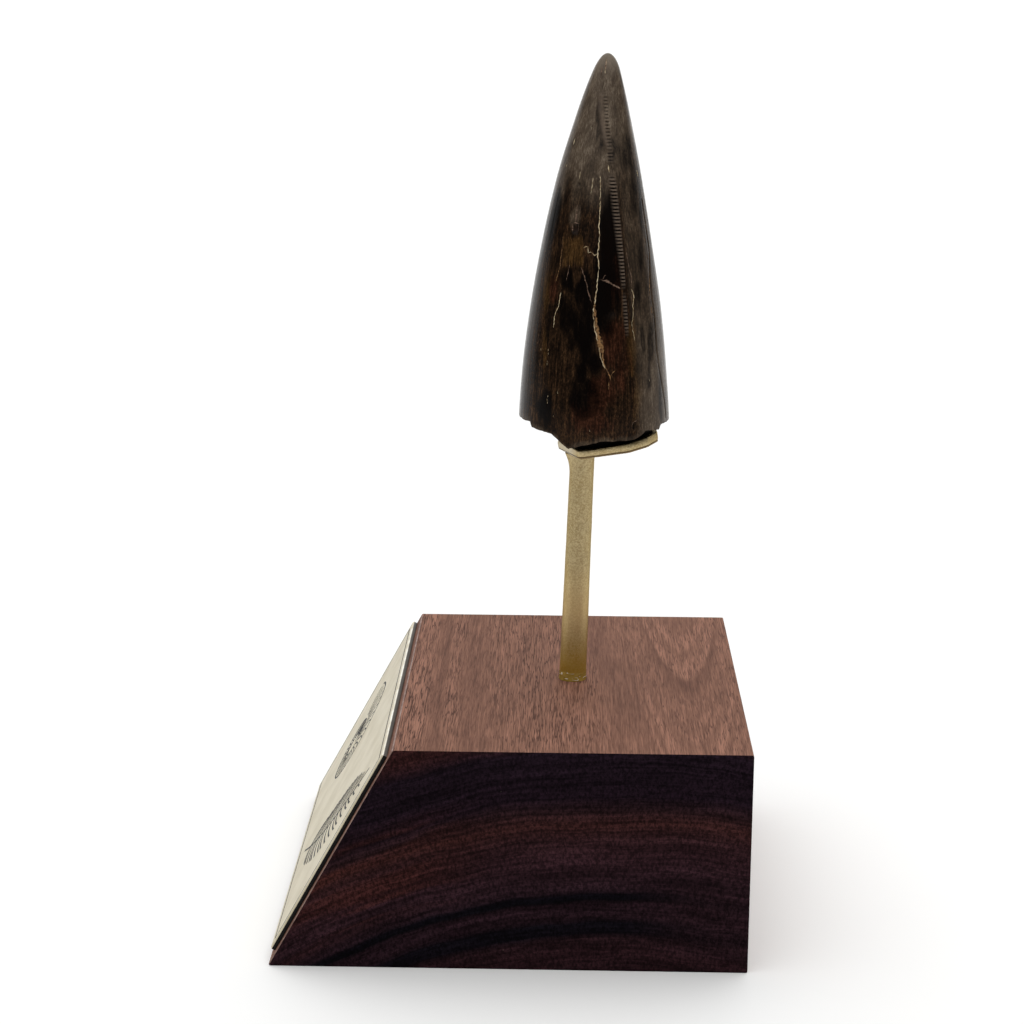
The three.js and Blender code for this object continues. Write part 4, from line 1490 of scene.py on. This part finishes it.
def enamel():
    """Mineralised enamel: umber with streaks that run up the tooth, stains, a paler tip from wear, painted
    highlights on the crests and along the root edge, and painted shade in the slots, the seam, the pits and
    under the root.
    """
    material, _ = new_material("fossil_enamel")
    flow = node(material.node_tree, "Attribute", {}, "Vector", attribute_name="flow")
    streak = flow.noise(*STREAK_NOISE)
    spot = flow.noise(*SPOT_NOISE)
    blotch = flow.noise(*BLOTCH_NOISE)
    down = flow.split()[2]

    def mask(name):
        return flow.node("Attribute", {}, "Fac", attribute_name=name)

    def frayed(name, strength):
        edge = mask(name) + streak.swing(FRAY_STREAK) + blotch.swing(FRAY_BLOTCH)
        return edge.step(FRAY_SPAN, (0, strength)) * mask(name).step(FRAY_EDGE)

    swings = streak.swing(STREAK_SWING) + spot.swing(SPOT_SWING)
    smudge = frayed("smudge", SMUDGE_STRENGTH)
    tone = swings + blotch.swing(BLOTCH_SWING) + down.step(*BASE_TONE)
    tone = tone - smudge * SMUDGE_LOSS - mask("trough") * TROUGH_LOSS - frayed("black", BLACK_LOSS)
    tone = tone.clamped()
    taupe_tone = swings * TAUPE_SHARE + blotch.swing(TAUPE_BLOTCH_SWING) + TAUPE_BASE
    taupe_tone = taupe_tone - smudge * TAUPE_SMUDGE_LOSS
    covered = (frayed("black", BLACK_COVER) + mask("trough")).clamped()
    colour = tone.ramp(UMBER_TONES)
    layers = [
        (frayed("ochre", OCHRE_STRENGTH), tone.ramp(OCHRE_TONES)),
        (frayed("red", RED_STRENGTH), tone.ramp(RED_TONES)),
        (mask("taupe") * (1.0 - covered), taupe_tone.ramp(TAUPE_TONES)),
        (down.step(*TIP_STEP), TIP_GREY),
        # Painted highlight on the crests, then painted shade in the slots, seam and pits and over the root's
        # underside
        (mask("crest") * CREST_HIGHLIGHT_STRENGTH, CREST_HIGHLIGHT),
        (mask("recess"), TOOTH_PAINTED_SHADE),
        (mask("broken") * UNDERSIDE_SHADE_STRENGTH, TOOTH_PAINTED_SHADE),
    ]
    for share, paint in layers:
        colour = share.mix(colour, paint)
    rough = (spot + mask("broken")).step(*ENAMEL_ROUGHNESS)
    normal = (spot + streak).bump(0.25, 0.03)
    return finished(material, colour, rough, {"Specular IOR Level": 0.036, "Normal": normal})


def make_tooth():
    """Crown with both serrated edges and the broken root end, as one closed surface."""
    grids = [
        carina_grid(mesial_angle, MESIAL_SPANS),
        side_grid(mesial_angle, distal_angle, 0, side_columns(*RIGHT_COLUMNS, RIGHT_SEEN)),
        carina_grid(distal_angle, DISTAL_SPANS),
        side_grid(distal_angle, mesial_angle, TURN, side_columns(*LEFT_COLUMNS, LEFT_UNSEEN)),
    ]
    start = 0
    faces = []
    for grid in grids:
        dress_grid(grid)
        rows, columns = grid["points"].shape[:2]
        grid["index"] = start + np.arange(rows * columns).reshape(rows, columns)
        faces.extend(grid_faces(rows, columns, start))
        start += rows * columns
    for grid, after in zip(grids, grids[1:] + grids[:1]):
        left = (grid["share"], grid["index"][:, -1].tolist())
        right = (after["share"], after["index"][:, 0].tolist())
        faces.extend(zip_faces(left, right))
    under = np.array([CRADLE_CENTRE[0], CRADLE_CENTRE[1], cradle_height(CRADLE_CENTRE[0], STUB_FOOT)])
    points = np.concatenate([grid["points"].reshape(-1, 3) for grid in grids] + [TIP[None], under[None]])
    for row, centre in ((0, start), (-1, start + 1)):
        ring = np.concatenate([grid["index"][row] for grid in grids]).tolist()
        faces.extend([[ring[k - 1], ring[k], centre] for k in range(len(ring))])
    form = (points, faces)
    tooth = mesh_piece("tooth", form, [enamel()], "tooth", crease=TOOTH_CREASE)

    for name in grids[0]["masks"]:
        values = np.concatenate([grid["masks"][name] for grid in grids] + [np.zeros(2)])
        tooth.data.attributes.new(name, "FLOAT", "POINT").data.foreach_set("value", values)
    flow = np.concatenate([grid["flow"] for grid in grids] + [np.zeros((2, 3))])
    tooth.data.attributes.new("flow", "FLOAT_VECTOR", "POINT").data.foreach_set("vector", flow.reshape(-1))


# Mineral in the cracks
CRUMB_NOISE = (4, 3, 0.65)
CRUMB_SPAN = (0.36, 0.66)
CRUMB_BUMP = (0.5, 0.05)


def crack_bar(width, line, layer):
    """Closed bar of mineral along a crack, wandering a little, with a width that comes and goes."""
    u, v = arc_marks(line)
    run = np.concatenate(([0], np.cumsum(np.hypot(np.diff(u), np.diff(v)))))
    length = run[-1]
    at = np.linspace(0, length, max(4, int(length / CRACK_STEP)))
    path = np.stack((np.interp(at, run, u), np.interp(at, run, v)), -1)
    side = sideways(path)
    bend = sum(lattice_noise(at / cell, row * layer, layer=layer) for cell, row in CRACK_BENDS)
    path = path + side * (CRACK_WANDER * min(1, length / CRACK_STRAIGHT) * bend)[:, None]
    ends = np.clip(np.minimum(at, length - at) / (CRACK_TAPER * width), CRACK_END, 1)
    uneven = np.ones(at.shape)
    for share, cell, row, further in CRACK_SWELLS:
        uneven += share * lattice_noise(at / cell, row, layer=layer + further)
    half = (width / 2 * ends * np.maximum(uneven, CRACK_LEAST))[:, None]

    def lifted(edge, lift):
        down = edge[:, 1]
        angle = edge[:, 0] / (crown_outline(down)[1] * ARC_SHARE) - np.pi / 2
        return crown_point(angle, down, relief(angle, down) + lift)

    left, right = path + side * half, path - side * half
    corners = [(left, -CRACK_SUNK), (left, CRACK_PROUD), (right, CRACK_PROUD), (right, -CRACK_SUNK)]
    return loft(np.stack([lifted(edge, lift) for edge, lift in corners], 1))


def make_crack_fillings():
    """Pale, tan and dim mineral in the cracks of the crown, with painted highlight specks among the pale."""
    fillings = [
        ("crack_pale_and_highlights", PALE_CRACKS_AND_HIGHLIGHTS, PALE_MINERAL_AND_HIGHLIGHT, CRACK_SHADE),
        ("crack_tan", TAN_CRACKS, CRACK_TAN, CRACK_TAN_SHADE),
        ("crack_dim", DIM_CRACKS, CRACK_DIM, TOOTH_BROWN),
    ]
    for name, cracks, paint, shade in fillings:
        form = joined([crack_bar(width, line, k) for k, (width, line) in enumerate(cracks)])
        look = mottled(name, shade, paint, CRUMB_NOISE, CRUMB_SPAN, 0.8, CRUMB_BUMP)
        mesh_piece(name, form, [look])


# Room: light by how far up and how far back a direction points
FLOOR_HALF_SIDE = 12_000
FLOOR_NOISE = (0.06, 2)
FRONT_LIGHT = 0.035
TOP_LIGHT = ((0.5, 0.9), (0, 2))
BACK_LIGHT = ((0.3, 0.8), (0, 1.15))
BACKDROP = 1.0


def make_floor():
    """Pale floor that runs far behind the stand."""
    half = FLOOR_HALF_SIDE
    corners = [(-half, -half, 0), (half, -half, 0), (half, half, 0), (-half, half, 0)]
    mesh = new_mesh("floor", (corners, [(0, 1, 2, 3)]))
    material, place = new_material("floor_paper")
    colour = place.noise(*FLOOR_NOISE).mix(FLOOR_COLOUR, FLOOR_SHADE)
    mesh.materials.append(finished(material, colour, 0.9, {"Specular IOR Level": 0.1}))
    floor = new_object("floor", mesh)


def light_room():
    """Soft light from above and behind, a dim room on the camera's side, and a white backdrop."""
    world = bpy.data.worlds.new("room")
    world.use_nodes = True
    _, y, z = node(world.node_tree, "TexCoord", {}, "Generated").split()
    light = z.step(*TOP_LIGHT).most(y.step(*BACK_LIGHT)) + FRONT_LIGHT
    seen = y.node("LightPath", {}, "Is Camera Ray")
    strength = light + (BACKDROP - light) * seen
    set_inputs(world.node_tree.nodes["Background"], {"Color": (1, 1, 1, 1), "Strength": strength})
    bpy.context.scene.world = world


def place_camera():
    """Camera at the photograph's place and angle."""
    az, el, roll = CAMERA_AZIMUTH, CAMERA_ELEVATION, CAMERA_ROLL
    right = Vector((math.cos(az), math.sin(az), 0))
    back = Vector((math.sin(az) * math.cos(el), -math.cos(az) * math.cos(el), math.sin(el)))
    up = back.cross(right)
    rolled_right = math.cos(roll) * right + math.sin(roll) * up
    rolled_up = math.cos(roll) * up - math.sin(roll) * right
    data = bpy.data.cameras.new("camera")
    data.lens = CAMERA_LENS
    data.sensor_width = CAMERA_SENSOR
    data.clip_start = MM
    data.clip_end = CAMERA_FAR * MM
    camera = new_object("camera", data)
    camera.matrix_world = Matrix((rolled_right, rolled_up, back)).transposed().to_4x4()
    camera.location = Vector(CAMERA_EYE) * MM
    bpy.context.scene.camera = camera


make_block()
make_label()
make_rod()
make_bead()
make_cradle()
make_tooth()
make_crack_fillings()
make_floor()
light_room()
place_camera()
bpy.context.scene.view_settings.view_transform = "Standard"
